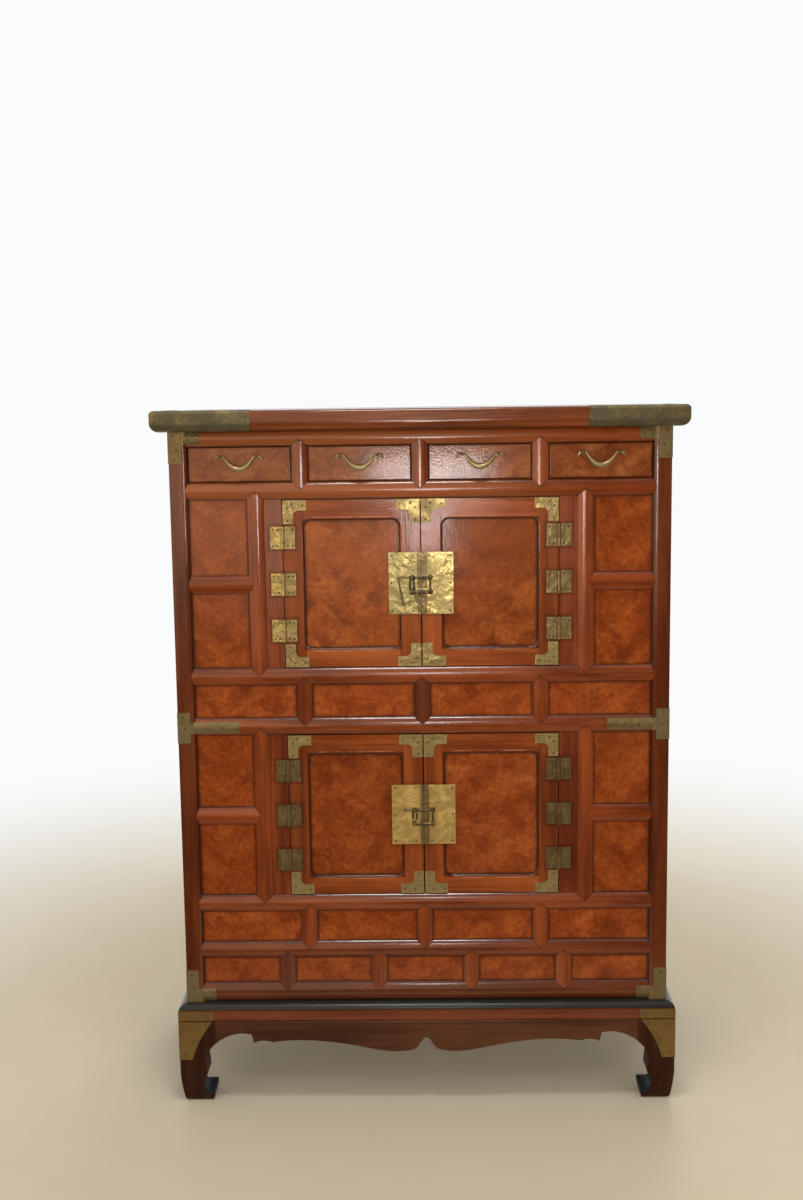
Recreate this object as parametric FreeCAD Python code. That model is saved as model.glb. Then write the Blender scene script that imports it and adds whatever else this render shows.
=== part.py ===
import FreeCAD
import Part
import math
import os

# Two-level cabinet on a low stand, in millimetres. X runs to the viewer's right, Y to the back, Z up.
# The origin is on the floor, in the middle of the plan.

V = FreeCAD.Vector
DIAGONAL = math.sqrt(0.5)

# Body and its stack
BODY_WIDTH = 820.0
BODY_DEPTH = 400.0
STAND_HEIGHT = 176.0
BOTTOM_RAIL = 32.0
PLINTH_ROW = 44.0
BASE_ROW = 54.0
LOWER_DOORS = 279.0
MIDDLE_ROW = 56.0
UPPER_DOORS = 281.0
DRAWER_ROW = 58.0
TOP_RAIL = 26.0
RAIL = 29.0

# Top slab and its brass end caps
SLAB_THICKNESS = 33.2
SLAB_SIDE_OVERHANG = 24.2
SLAB_FRONT_OVERHANG = 27.2
SLAB_BACK_OVERHANG = 6.0
SLAB_LOWER_ROUND = 14.0
SLAB_UPPER_ROUND = 6.0
CAP_LENGTH = 162.0
CAP_FLANGE = 20.0
CAP_LIP = 13.0

# Frame members
POST_WIDTH = 30.0
POST_DEPTH = 38.0
POST_ROUND = 9.0
RAIL_DEPTH = 36.0
RAIL_SETBACK = 0.5
RAIL_CROWN = 7.0
MUNTIN = 28.0
MUNTIN_CROWN = 6.6
SHORT_RAIL_CROWN = 6.2
MUNTIN_DEPTH = 34.0
SIDE_RAIL_DEPTH = 28.0
BACK_RAIL_DEPTH = 24.0
BACK_RAIL_SETBACK = 2.0
TENON_LENGTH = 12.0
TENON_SHOULDER = 5.0
TENON_INSET = 10.0
TENON_THICKNESS = 10.0

# Panels and boards held in grooves
PANEL_RECESS = 10.0
PANEL_THICKNESS = 7.0
PANEL_TONGUE = 5.0
BACK_BOARDS = 5
BACK_SEAM = 0.7
BACK_BEVEL = 1.5
PLINTH_PANELS = 5
BASE_PANELS = 4
MIDDLE_PANELS = 4
BOARD_THICKNESS = 12.0
DECK_THICKNESS = 10.0
BOARD_TONGUE = 6.0
FIT = 0.2

# Doors
DOOR_HALF_OPENING = 228.0
HINGE_STRIP = 29.0
DOOR_POST = 29.0
DOOR_SETBACK = 7.0
DOOR_THICKNESS = 20.0
DOOR_STILE = 35.0
DOOR_TOP_RAIL = 34.0
DOOR_BOTTOM_RAIL = 32.0
DOOR_CORNER = 13.0
DOOR_BEAD = 4.0
DOOR_PANEL_RECESS = 5.0
DOOR_SEAM = 2.0
HINGE_GAP = 1.4
DOOR_HEIGHT_GAP = 1.2
NAIL_HOLE = 1.5
NAIL_HOLE_DEPTH = 8.0
NAIL_HOLE_IN = 10.8
NAIL_HOLE_DOWN = 73.8
STOP_DROP = 8.0
STOP_GAP = 0.5

# Brass sheet and hinges
SHEET = 0.8
PLATE = 1.0
CORNER_PLATE = 39.0
CORNER_ARM = 17.0
CORNER_COVE = 9.0
HINGE_HEIGHT = 37.0
HINGE_LEAF = 20.5
HINGE_PITCH = 77.5
HINGE_COUNT = 3
LEAF_THICKNESS = 1.2
KNUCKLE_RADIUS = 3.0
KNUCKLE_GAP = 0.3
KNUCKLE_LIFT = 0.2
LEAF_RELIEF = 0.4
PIN_RADIUS = 1.4
PIN_CLEARANCE = 0.05
PIN_HEAD = 1.2

# Lock plates, their staples and the sliding bolts
LOCK_WIDTH = 53.5
LOCK_HEIGHT = 103.0
LOCK_RIB = 2.0
LEFT_RIB_WIDTH = 5.0
RIGHT_RIB_WIDTH = 9.0
RIB_SEAM_GAP = 0.7
STAPLE_X = 15.0
STAPLE_HIGH = 10.0
STAPLE_LOW = -14.0
STAPLE_LIFT = 7.5
STAPLE_BALL = 4.6
STAPLE_STEM = 2.3
LINK_RADIUS = 1.7
LINK_SPREAD = 3.2
LINK_END_GAP = 2.6
BARREL_RADIUS = 2.6
BOLT_RADIUS = 1.8
BOLT_CLEARANCE = 0.1
BOLT_TIP_GAP = 0.5
UPPER_BOLT_END = 38.0
LOWER_BOLT_END = 31.0
BOLT_KNOB = 3.0
TAIL_LENGTH = 48.0
TAIL_LEAN = 11.0
TAIL_WIDTH = 4.4
TAIL_NECK = 2.6
PIN_DROP = 20.0
PIN_TOP_IN = 10.4
PIN_FOOT_IN = 7.2
PIN_WIDTH = 2.6
PIN_THICKNESS = 1.4

# Drawers and their pulls
DRAWER_COUNT = 4
DRAWER_GAP = 0.8
DRAWER_FRONT_THICKNESS = 16.0
DRAWER_EDGE = 1.5
DRAWER_SIDE = 8.0
DRAWER_BOTTOM = 5.0
DRAWER_SIDE_DROP = 6.0
DRAWER_RUN_GAP = 0.3
DRAWER_SIDE_CLEARANCE = 1.2
DRAWER_BACK_GAP = 12.0
DIVIDER = 10.0
PULL_SPAN = 59.0
PULL_HEIGHT = 42.0
PULL_LIFT = 10.0
PULL_DROP = 20.5
PULL_THICK = 4.6
PULL_THIN = 1.8
PULL_RINGS = 7
PULL_EYE = 2.4
PULL_SIDE_GAP = 0.3
PULL_STEM = 2.0
PULL_STEM_DEPTH = 9.0
TRUNNION = 1.3
EAR_LENGTH = 5.0
EAR_SLOPE = 52.0
EAR_THICK = 2.7
EAR_TIP = 1.7

# Stand
STAND_OVERHANG = 14.0
STAND_FRAME = 30.0
STAND_FRAME_WIDTH = 60.0
STAND_LEDGE_DROP = 9.0
STAND_GROOVE = 2.0
STAND_FASCIA = 17.0
LEG = 62.0
LEG_TENON = 24.0
LEG_TENON_HEIGHT = 16.0
ANKLE = 44.0
ANKLE_HIGH = 80.0
ANKLE_LIP = 46.5
ANKLE_LOW = 51.0
KNEE_SPRING = 106.0
TOE_REACH = 57.0
TOE_LOW = 11.0
TOE_HIGH = 18.5
HEEL_HIGH = 54.0
HEEL_LEAN = 6.0
HEEL_LOW = 7.0
HEEL_SWELL = 2.1
HEEL_TURN_IN = 8.7
HEEL_TURN_UP = 2.2
SOLE_OUTER = 12.0
SOLE_INNER = 53.0
TOE_SWELL_UP = 4.6
SCROLL_DEEP = 39.0
SCROLL_DEEP_UP = 31.0
APRON_THICKNESS = 20.0
APRON_SETBACK = 1.0
APRON_BEAD = 2.2
BACK_APRON_DEPTH = 30.0
ARCH_SPRING = (18.0, 117.5)
ARCH_PEAK = (43.0, 124.0)
ARCH_END = (62.0, 122.0)
STEP_FOOT = (66.0, 107.0)
SCALLOP = (82.0, 111.0)
SCALLOP_END = (98.0, 108.0)
SWEEP_HIGH = (142.0, 111.5)
SWEEP_MIDDLE = 0.55
SWEEP_MIDDLE_DROP = 11.4
SWEEP_LOW = 92.5
LOBE_RUN = 6.0
LOBE_RISE = 1.5
NOTCH_HALF = 22.0
NOTCH_WAIST = 13.6
NOTCH_WAIST_RISE = 8.0
NOTCH_CROWN = 6.6
NOTCH_CROWN_DROP = 4.5
NOTCH_PEAK = 116.0
STAND_BRASS_ARM = 60.0
KNEE_PLATE_TOP = 58.0
KNEE_PLATE_FOOT = 22.0
KNEE_PLATE_HEIGHT = 68.0
KNEE_PLATE_WAIST = 34.0
KNEE_PLATE_WAIST_DROP = 37.4

# Body brass
TOP_CORNER_ARM = 51.0
TOP_CORNER_DROP = 52.0
TOP_CORNER_WIDTH = 21.0
MIDDLE_ARM = 103.0
MIDDLE_ARM_WIDTH = 20.0
MIDDLE_POST_HEIGHT = 52.0
BOTTOM_CORNER_ARM = 50.0
BOTTOM_CORNER_RISE = 57.0
BOTTOM_CORNER_WIDTH = 24.0


def stacked(start, heights):
    """Low and high level of each height, piled up from start."""
    spans = []
    for height in heights:
        spans.append((start, start + height))
        start += height
    return spans


(BOTTOM_RAIL_Z, PLINTH_ROW_Z, PLINTH_RAIL_Z, BASE_ROW_Z, LOWER_SILL_Z, LOWER_DOORS_Z, MIDDLE_RAIL_Z,
 MIDDLE_ROW_Z, UPPER_SILL_Z, UPPER_DOORS_Z, DRAWER_RAIL_Z, DRAWERS_Z, TOP_RAIL_Z) = stacked(
    STAND_HEIGHT,
    [BOTTOM_RAIL, PLINTH_ROW, RAIL, BASE_ROW, RAIL, LOWER_DOORS, RAIL,
     MIDDLE_ROW, RAIL, UPPER_DOORS, RAIL, DRAWER_ROW, TOP_RAIL])
BODY_TOP = TOP_RAIL_Z[1]

HALF = BODY_WIDTH / 2
POST_INNER = HALF - POST_WIDTH
TOTAL_DEPTH = SHEET + SLAB_FRONT_OVERHANG + BODY_DEPTH + SLAB_BACK_OVERHANG
FRONT = -TOTAL_DEPTH / 2 + SHEET + SLAB_FRONT_OVERHANG
BACK = FRONT + BODY_DEPTH
MIDDLE_Y = (FRONT + BACK) / 2

RAIL_FACE = FRONT + RAIL_SETBACK
RAIL_EDGE = RAIL_FACE + RAIL_CROWN
RAIL_BACK = FRONT + RAIL_DEPTH
PANEL_FACE = FRONT + PANEL_RECESS
DOOR_FACE = FRONT + DOOR_SETBACK
DOOR_BACK = DOOR_FACE + DOOR_THICKNESS

HINGE_X = DOOR_HALF_OPENING - HINGE_GAP / 2
HINGE_Y = DOOR_FACE - KNUCKLE_RADIUS - KNUCKLE_LIFT
DOOR_EDGE = DOOR_HALF_OPENING - HINGE_GAP
DOOR_POST_LOW = DOOR_HALF_OPENING + HINGE_STRIP
DOOR_POST_HIGH = DOOR_POST_LOW + DOOR_POST

SIDE_FACE = HALF - RAIL_SETBACK
SIDE_EDGE = SIDE_FACE - RAIL_CROWN
SIDE_INNER = HALF - SIDE_RAIL_DEPTH
SIDE_PANEL_FACE = HALF - PANEL_RECESS
BACK_RAIL_FACE = BACK - BACK_RAIL_SETBACK
BACK_RAIL_INNER = BACK_RAIL_FACE - BACK_RAIL_DEPTH
BACK_PANEL_INNER = BACK - PANEL_RECESS - PANEL_THICKNESS

STAND_HALF = HALF + STAND_OVERHANG
STAND_FRONT = FRONT - STAND_OVERHANG
LEG_TOP = STAND_HEIGHT - STAND_FRAME

nodes = {}


def add(node, *shapes):
    """Put the solids of each shape into a node."""
    for shape in shapes:
        nodes.setdefault(node, []).extend(shape.Solids)


def on_side(shape, side):
    """The shape as built, on the right, or for side -1 its mirror image on the left."""
    return shape if side > 0 else shape.mirror(V(0, 0, 0), V(1, 0, 0))


def both_sides(shape):
    return [on_side(shape, 1), on_side(shape, -1)]


def box(x0, x1, y0, y1, z0, z1):
    return Part.makeBox(x1 - x0, y1 - y0, z1 - z0, V(x0, y0, z0))


def grown(solid, amount):
    """The box around a solid, larger by amount on every side."""
    b = solid.BoundBox
    return box(b.XMin - amount, b.XMax + amount, b.YMin - amount, b.YMax + amount,
               b.ZMin - amount, b.ZMax + amount)


def cylinder(radius, start, end):
    run = end - start
    return Part.makeCylinder(radius, run.Length, start, run)


def outline(*pieces):
    """Edges from runs of points: two points are a line, three an arc, and more a smooth curve."""
    edges = []
    for points in pieces:
        if len(points) == 2:
            edges.append(Part.makeLine(*points))
        elif len(points) == 3:
            edges.append(Part.Arc(*points).toShape())
        else:
            curve = Part.BSplineCurve()
            curve.interpolate(points)
            edges.append(curve.toShape())
    return edges


def steps(points):
    """Each pair of neighbours in a run of points, for the straight pieces of an outline."""
    return list(zip(points, points[1:]))


def face_within(edges):
    return Part.Face(Part.Wire(Part.__sortEdges__(edges)))


def prism(edges, run):
    return face_within(edges).extrude(run)


def polygon_prism(points, run):
    return Part.Face(Part.makePolygon(list(points) + [points[0]])).extrude(run)


def joined(shapes):
    first, rest = shapes[0], shapes[1:]
    return first.fuse(rest).removeSplitter()


def trimmed(shape, tools):
    """The shape less every tool that comes near it."""
    near = [tool for tool in tools if shape.BoundBox.intersect(tool.BoundBox)]
    return shape.cut(near) if near else shape


def rounded_bar(place, run, low, high, crown, edge, back):
    """A bar with a rounded face: place(across, depth) is a point of its section, run its length."""
    middle = (low + high) / 2
    face = [place(low, edge), place(middle, crown), place(high, edge)]
    return prism(outline(face, [place(high, edge), place(high, back)], [place(high, back), place(low, back)],
                         [place(low, back), place(low, edge)]), run)


def bar_along_x(x0, x1, span, crown, edge, back):
    return rounded_bar(lambda z, y: V(x0, y, z), V(x1 - x0, 0, 0), span[0], span[1], crown, edge, back)


def bar_along_y(y0, y1, span, crown, edge, back):
    return rounded_bar(lambda z, x: V(x, y0, z), V(0, y1 - y0, 0), span[0], span[1], crown, edge, back)


def bar_along_z(z0, z1, span, crown, edge, back):
    return rounded_bar(lambda x, y: V(x, y, z0), V(0, 0, z1 - z0), span[0], span[1], crown, edge, back)


def middle_of(span):
    return (span[0] + span[1]) / 2


# Corner posts: square outside, with both edges that face a panel rounded

def front_post(skin=0):
    """The right front post, or with a skin the same form larger by the thickness of the brass on it."""
    bulge = (POST_ROUND + skin) * DIAGONAL
    rear = FRONT + POST_DEPTH
    inner_centre = V(POST_INNER + POST_ROUND, FRONT + POST_ROUND, STAND_HEIGHT)
    side_centre = V(HALF - POST_ROUND, rear - POST_ROUND, STAND_HEIGHT)
    front_start = V(inner_centre.x, FRONT - skin, STAND_HEIGHT)
    outer = V(HALF + skin, FRONT - skin, STAND_HEIGHT)
    side_end = V(HALF + skin, side_centre.y, STAND_HEIGHT)
    rear_start = V(side_centre.x, rear + skin, STAND_HEIGHT)
    rear_inner = V(POST_INNER - skin, rear + skin, STAND_HEIGHT)
    inner_end = V(POST_INNER - skin, inner_centre.y, STAND_HEIGHT)
    return prism(outline(
        [front_start, outer], [outer, side_end],
        [side_end, side_centre + V(bulge, bulge, 0), rear_start],
        [rear_start, rear_inner], [rear_inner, inner_end],
        [inner_end, inner_centre - V(bulge, bulge, 0), front_start]), V(0, 0, BODY_TOP - STAND_HEIGHT))


right_front_post = front_post()
right_back_post = right_front_post.mirror(V(0, MIDDLE_Y, 0), V(0, 1, 0))
front_posts = both_sides(right_front_post)
back_posts = both_sides(right_back_post)
posts = front_posts + back_posts

# Rails: their rounded faces are scribed over the posts' rounded edges and end in tenons

REACH_X = POST_INNER + POST_ROUND
REACH_Y = FRONT + POST_DEPTH - POST_ROUND


def tenon_span(span):
    return span[0] + TENON_SHOULDER, span[1] - TENON_SHOULDER


def front_rail(span):
    bar = bar_along_x(-REACH_X, REACH_X, span, RAIL_FACE, RAIL_EDGE, RAIL_BACK).cut(front_posts)
    low, high = tenon_span(span)
    length = POST_INNER + TENON_LENGTH
    tenon = box(-length, length, FRONT + TENON_INSET, FRONT + TENON_INSET + TENON_THICKNESS, low, high)
    return joined([bar, tenon]), tenon


def side_rail(span):
    bar = bar_along_y(REACH_Y, 2 * MIDDLE_Y - REACH_Y, span, SIDE_FACE, SIDE_EDGE, SIDE_INNER)
    bar = bar.cut([right_front_post, right_back_post])
    low, high = tenon_span(span)
    start = FRONT + POST_DEPTH - TENON_LENGTH
    outer = HALF - TENON_INSET
    tenon = box(outer - TENON_THICKNESS, outer, start, 2 * MIDDLE_Y - start, low, high)
    return joined([bar, tenon]), tenon


def back_rail(span):
    bar = box(-POST_INNER, POST_INNER, BACK_RAIL_INNER, BACK_RAIL_FACE, *span)
    low, high = tenon_span(span)
    length = POST_INNER + TENON_LENGTH
    tenon = box(-length, length, BACK - TENON_INSET - TENON_THICKNESS, BACK - TENON_INSET, low, high)
    return joined([bar, tenon]), tenon


FRONT_RAIL_SPANS = [BOTTOM_RAIL_Z, PLINTH_RAIL_Z, LOWER_SILL_Z, MIDDLE_RAIL_Z, UPPER_SILL_Z,
                    DRAWER_RAIL_Z, TOP_RAIL_Z]
LEVEL_SPANS = [BOTTOM_RAIL_Z, MIDDLE_RAIL_Z, DRAWER_RAIL_Z, TOP_RAIL_Z]

front_rails = []
side_rails = []
back_rails = []
mortises = []
for rail_span in FRONT_RAIL_SPANS:
    rail, rail_tenon = front_rail(rail_span)
    front_rails.append(rail)
    mortises.append(grown(rail_tenon, FIT))
for rail_span in LEVEL_SPANS:
    rail, rail_tenon = side_rail(rail_span)
    side_rails += both_sides(rail)
    mortises += both_sides(grown(rail_tenon, FIT))
    rail, rail_tenon = back_rail(rail_span)
    back_rails.append(rail)
    mortises.append(grown(rail_tenon, FIT))

# Muntins between the rails, scribed over the rails' rounded faces so that they end in points

MUNTIN_FACE = RAIL_EDGE - MUNTIN_CROWN
MUNTIN_BACK = FRONT + MUNTIN_DEPTH


def row_spans(count):
    """Left and right edge of each of the equal openings in a row."""
    width = (2 * POST_INNER - (count - 1) * MUNTIN) / count
    starts = [-POST_INNER + i * (width + MUNTIN) for i in range(count)]
    return [(start, start + width) for start in starts]


def upright(span, below, above):
    bar = bar_along_z(middle_of(below), middle_of(above), span, MUNTIN_FACE, RAIL_EDGE, MUNTIN_BACK)
    return trimmed(bar, front_rails)


row_muntins = []
panel_openings = []
PANEL_ROWS = [(PLINTH_PANELS, PLINTH_RAIL_Z, BOTTOM_RAIL_Z), (BASE_PANELS, LOWER_SILL_Z, PLINTH_RAIL_Z),
              (MIDDLE_PANELS, UPPER_SILL_Z, MIDDLE_RAIL_Z)]
for count, above, below in PANEL_ROWS + [(DRAWER_COUNT, TOP_RAIL_Z, DRAWER_RAIL_Z)]:
    spans = row_spans(count)
    for left, right in zip(spans, spans[1:]):
        row_muntins.append(upright((left[1], right[0]), below, above))
    if above is not TOP_RAIL_Z:
        panel_openings += [(span, (below[1], above[0])) for span in spans]

# Door-side posts, hinge strips and the short rails of the side columns

door_posts = []
hinge_strips = []
short_rails = []
column_openings = []
for below, above in [(LOWER_SILL_Z, MIDDLE_RAIL_Z), (UPPER_SILL_Z, DRAWER_RAIL_Z)]:
    post = upright((DOOR_POST_LOW, DOOR_POST_HIGH), below, above)
    door_posts += both_sides(post)
    opening_z = (below[1], above[0])
    hinge_strips += both_sides(box(DOOR_HALF_OPENING, DOOR_POST_LOW, DOOR_FACE, DOOR_BACK, *opening_z))
    centre = middle_of(opening_z)
    short_z = (centre - RAIL / 2, centre + RAIL / 2)
    short = bar_along_x(middle_of((DOOR_POST_LOW, DOOR_POST_HIGH)), REACH_X, short_z,
                        RAIL_EDGE - SHORT_RAIL_CROWN, RAIL_EDGE, MUNTIN_BACK)
    short_rails += both_sides(short.cut([right_front_post, post]))
    for z_span in [(opening_z[0], short_z[0]), (short_z[1], opening_z[1])]:
        column_openings.append(((DOOR_POST_HIGH, POST_INNER), z_span))
        column_openings.append(((-POST_INNER, -DOOR_POST_HIGH), z_span))


def front_panel(opening):
    (x0, x1), (z0, z1) = opening
    return box(x0 - PANEL_TONGUE, x1 + PANEL_TONGUE, PANEL_FACE, PANEL_FACE + PANEL_THICKNESS,
               z0 - PANEL_TONGUE, z1 + PANEL_TONGUE)


row_panels = [front_panel(opening) for opening in panel_openings]
column_panels = [front_panel(opening) for opening in column_openings]

# Side panels, one between each pair of levels, and upright boards at the back

back_start = -POST_INNER - PANEL_TONGUE
back_step = -2 * back_start / BACK_BOARDS


def back_board(place, z0, z1):
    """One of the boards side by side at the back, bevelled along its seams."""
    left = back_start + place * back_step
    back = BACK_PANEL_INNER + PANEL_THICKNESS
    board = box(left + BACK_SEAM / 2, left + back_step - BACK_SEAM / 2, BACK_PANEL_INNER, back, z0, z1)
    seams = [edge for edge in board.Edges if edge.BoundBox.YMin > back - FIT and edge.Length > z1 - z0 - FIT
             and edge.BoundBox.XLength < FIT]
    return board.makeChamfer(BACK_BEVEL, seams)


side_panels = []
back_panels = []
for below, above in zip(LEVEL_SPANS, LEVEL_SPANS[1:]):
    z0, z1 = below[1] - PANEL_TONGUE, above[0] + PANEL_TONGUE
    side_start = FRONT + POST_DEPTH - PANEL_TONGUE
    side_panels += both_sides(box(SIDE_PANEL_FACE - PANEL_THICKNESS, SIDE_PANEL_FACE,
                                  side_start, 2 * MIDDLE_Y - side_start, z0, z1))
    back_panels += [back_board(place, z0, z1) for place in range(BACK_BOARDS)]

# Floors and the deck under the drawers, tongued into the rails and notched round the posts

def floor_board(top, thickness):
    board = box(-SIDE_INNER - BOARD_TONGUE, SIDE_INNER + BOARD_TONGUE, RAIL_BACK - BOARD_TONGUE,
                BACK_RAIL_INNER + BOARD_TONGUE, top - thickness, top)
    return board.cut([grown(post, FIT) for post in posts])


def board_groove(board):
    b = board.BoundBox
    return box(b.XMin - FIT, b.XMax + FIT, b.YMin - FIT, b.YMax + FIT, b.ZMin - FIT, b.ZMax)


bottom_board = floor_board(middle_of(BOTTOM_RAIL_Z) + BOARD_THICKNESS / 2, BOARD_THICKNESS)
middle_floor = floor_board(middle_of(MIDDLE_RAIL_Z) + BOARD_THICKNESS / 2, BOARD_THICKNESS)
drawer_deck = floor_board(DRAWERS_Z[0], DECK_THICKNESS)

# Drawer dividers stand on the deck behind the muntins, with a guide along each end

drawer_spans = row_spans(DRAWER_COUNT)
dividers = []
for left, right in zip(drawer_spans, drawer_spans[1:]):
    centre = (left[1] + right[0]) / 2
    dividers.append(box(centre - DIVIDER / 2, centre + DIVIDER / 2, RAIL_BACK, BACK_RAIL_INNER,
                        DRAWERS_Z[0], BODY_TOP))
end_guide = box(POST_INNER, POST_INNER + DIVIDER, FRONT + POST_DEPTH, BACK - POST_DEPTH, *DRAWERS_Z)
dividers += both_sides(end_guide)

# Stops behind the doors' top edges, under the rail above them

stop_start = DOOR_BACK + STOP_GAP
door_stops = [box(-DOOR_HALF_OPENING, DOOR_HALF_OPENING, stop_start, RAIL_BACK, span[1] - STOP_DROP, span[1])
              for span in (LOWER_DOORS_Z, UPPER_DOORS_Z)]

# Every groove and mortise is cut where a panel, board or tenon enters a member

panel_grooves = [grown(panel, FIT) for panel in row_panels + column_panels + side_panels + back_panels]
board_grooves = [board_groove(board) for board in (bottom_board, middle_floor, drawer_deck)]
add("corner_posts", *[trimmed(post, mortises + panel_grooves) for post in posts])
for node, members in [("front_rails", front_rails), ("row_muntins", row_muntins),
                      ("door_side_posts", door_posts), ("short_rails", short_rails),
                      ("side_rails", side_rails), ("back_rails", back_rails)]:
    add(node, *[trimmed(member, panel_grooves + board_grooves) for member in members])
add("hinge_strips", *hinge_strips)
add("row_panels", *row_panels)
add("side_column_panels", *column_panels)
add("side_panels", *side_panels)
add("back_panels", *back_panels)
add("bottom_board", bottom_board)
add("middle_floor", middle_floor)
add("drawer_deck", drawer_deck)
add("drawer_dividers", *dividers)
add("door_stops", *door_stops)

# Top slab: one edge shape on the front and both ends, square at the back

SLAB_HALF = HALF + SLAB_SIDE_OVERHANG
SLAB_FRONT = FRONT - SLAB_FRONT_OVERHANG
SLAB_BACK = BACK + SLAB_BACK_OVERHANG


def slab_edge(place, across, inward, low, high, lower_round, upper_round):
    """The rounded edge at across, from the underside to the top, as outline pieces."""
    lower_bulge = lower_round * (1 - DIAGONAL)
    upper_bulge = upper_round * (1 - DIAGONAL)
    lower = [place(across + inward * lower_round, low),
             place(across + inward * lower_bulge, low + lower_bulge),
             place(across, low + lower_round)]
    upper = [place(across, high - upper_round),
             place(across + inward * upper_bulge, high - upper_bulge),
             place(across + inward * upper_round, high)]
    return [lower, [lower[2], upper[0]], upper]


def slab_solid(skin):
    """The slab, or with a skin the same form larger by the thickness of the brass on it."""
    low, high = BODY_TOP - skin, BODY_TOP + SLAB_THICKNESS + skin
    half, front = SLAB_HALF + skin, SLAB_FRONT - skin
    rounds = (SLAB_LOWER_ROUND + skin, SLAB_UPPER_ROUND + skin)
    ends = lambda x, z: V(x, front, z)
    right = slab_edge(ends, half, -1, low, high, *rounds)
    left = slab_edge(ends, -half, 1, low, high, *rounds)
    across = prism(outline(*right, [right[2][2], left[2][2]], *left, [left[0][0], right[0][0]]),
                   V(0, SLAB_BACK - front, 0))
    depth = lambda y, z: V(-half, y, z)
    edge = slab_edge(depth, front, 1, low, high, *rounds)
    top_back, low_back = depth(SLAB_BACK, high), depth(SLAB_BACK, low)
    along = prism(outline(*edge, [edge[2][2], top_back], [top_back, low_back], [low_back, edge[0][0]]),
                  V(2 * half, 0, 0))
    return across.common(along)


slab = slab_solid(0)
add("top_slab", slab)

cap_front = SLAB_FRONT - SHEET
cap_side = SLAB_HALF + SHEET
cap_low, cap_high = BODY_TOP - SHEET, BODY_TOP + SLAB_THICKNESS + SHEET
cap_region = box(cap_side - CAP_LENGTH, cap_side, cap_front, cap_front + CAP_FLANGE, cap_low, cap_high).fuse(
    box(cap_side - CAP_FLANGE, cap_side, cap_front, cap_front + CAP_LENGTH, cap_low, cap_high))
under_body = box(cap_side - CAP_LENGTH, cap_side - CAP_LIP, cap_front + CAP_LIP, BACK, cap_low, BODY_TOP)
cap = slab_solid(SHEET).cut(slab).common(cap_region).cut(under_body)
add("top_slab_caps", *both_sides(cap))

# Brass on the body's corners: a plate on the post, wrapped to the side, with an arm along each rail

PLATE_INNER = POST_INNER + POST_ROUND


def corner_fitting(post_z, arm_z, arm, rail_span):
    front_bar = bar_along_x(HALF - arm, PLATE_INNER, rail_span, RAIL_FACE, RAIL_EDGE, RAIL_BACK)
    front_skin = bar_along_x(HALF - arm, PLATE_INNER, (rail_span[0] - SHEET, rail_span[1] + SHEET),
                             RAIL_FACE - SHEET, RAIL_EDGE, RAIL_BACK)
    front_arm = front_skin.cut([front_bar, right_front_post])
    front_arm = front_arm.common(box(HALF - arm, PLATE_INNER, FRONT - SHEET, RAIL_EDGE, *arm_z))
    side_end = FRONT + arm
    side_bar = bar_along_y(REACH_Y, side_end, rail_span, SIDE_FACE, SIDE_EDGE, SIDE_INNER)
    side_skin = bar_along_y(REACH_Y, side_end, (rail_span[0] - SHEET, rail_span[1] + SHEET),
                            SIDE_FACE + SHEET, SIDE_EDGE, SIDE_INNER)
    side_arm = side_skin.cut([side_bar, right_front_post])
    side_arm = side_arm.common(box(SIDE_EDGE, HALF + SHEET, REACH_Y, side_end, *arm_z))
    front_plate = box(PLATE_INNER, HALF + SHEET, FRONT - SHEET, FRONT, *post_z)
    side_plate = box(HALF, HALF + SHEET, FRONT, REACH_Y, *post_z)
    wrap = front_post(SHEET).cut([right_front_post, front_bar, side_bar])
    front_wrap = wrap.common(box(POST_INNER - SHEET, PLATE_INNER, FRONT - SHEET, RAIL_EDGE, *arm_z))
    side_wrap = wrap.common(box(SIDE_EDGE, HALF + SHEET, REACH_Y, FRONT + POST_DEPTH + SHEET, *arm_z))
    return joined([front_plate, side_plate, front_arm, side_arm, front_wrap, side_wrap])


middle_level = middle_of(MIDDLE_RAIL_Z)
fittings = [
    corner_fitting((BODY_TOP - TOP_CORNER_DROP, BODY_TOP), (BODY_TOP - TOP_CORNER_WIDTH, BODY_TOP),
                   TOP_CORNER_ARM, TOP_RAIL_Z),
    corner_fitting((middle_level - MIDDLE_POST_HEIGHT / 2, middle_level + MIDDLE_POST_HEIGHT / 2),
                   (middle_level - MIDDLE_ARM_WIDTH / 2, middle_level + MIDDLE_ARM_WIDTH / 2),
                   MIDDLE_ARM, MIDDLE_RAIL_Z),
    corner_fitting((STAND_HEIGHT, STAND_HEIGHT + BOTTOM_CORNER_RISE),
                   (STAND_HEIGHT, STAND_HEIGHT + BOTTOM_CORNER_WIDTH), BOTTOM_CORNER_ARM, BOTTOM_RAIL_Z)]
for fitting in fittings:
    add("corner_brass", *both_sides(fitting))

# Hinges: a leaf on the strip with two knuckles, a leaf on the door with one, and a headed pin


def knuckle_spans(centre):
    third = HINGE_HEIGHT / 3
    low = centre - HINGE_HEIGHT / 2
    return [(low, low + third), (low + third + KNUCKLE_GAP, low + 2 * third - KNUCKLE_GAP),
            (low + 2 * third, low + HINGE_HEIGHT)]


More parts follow.
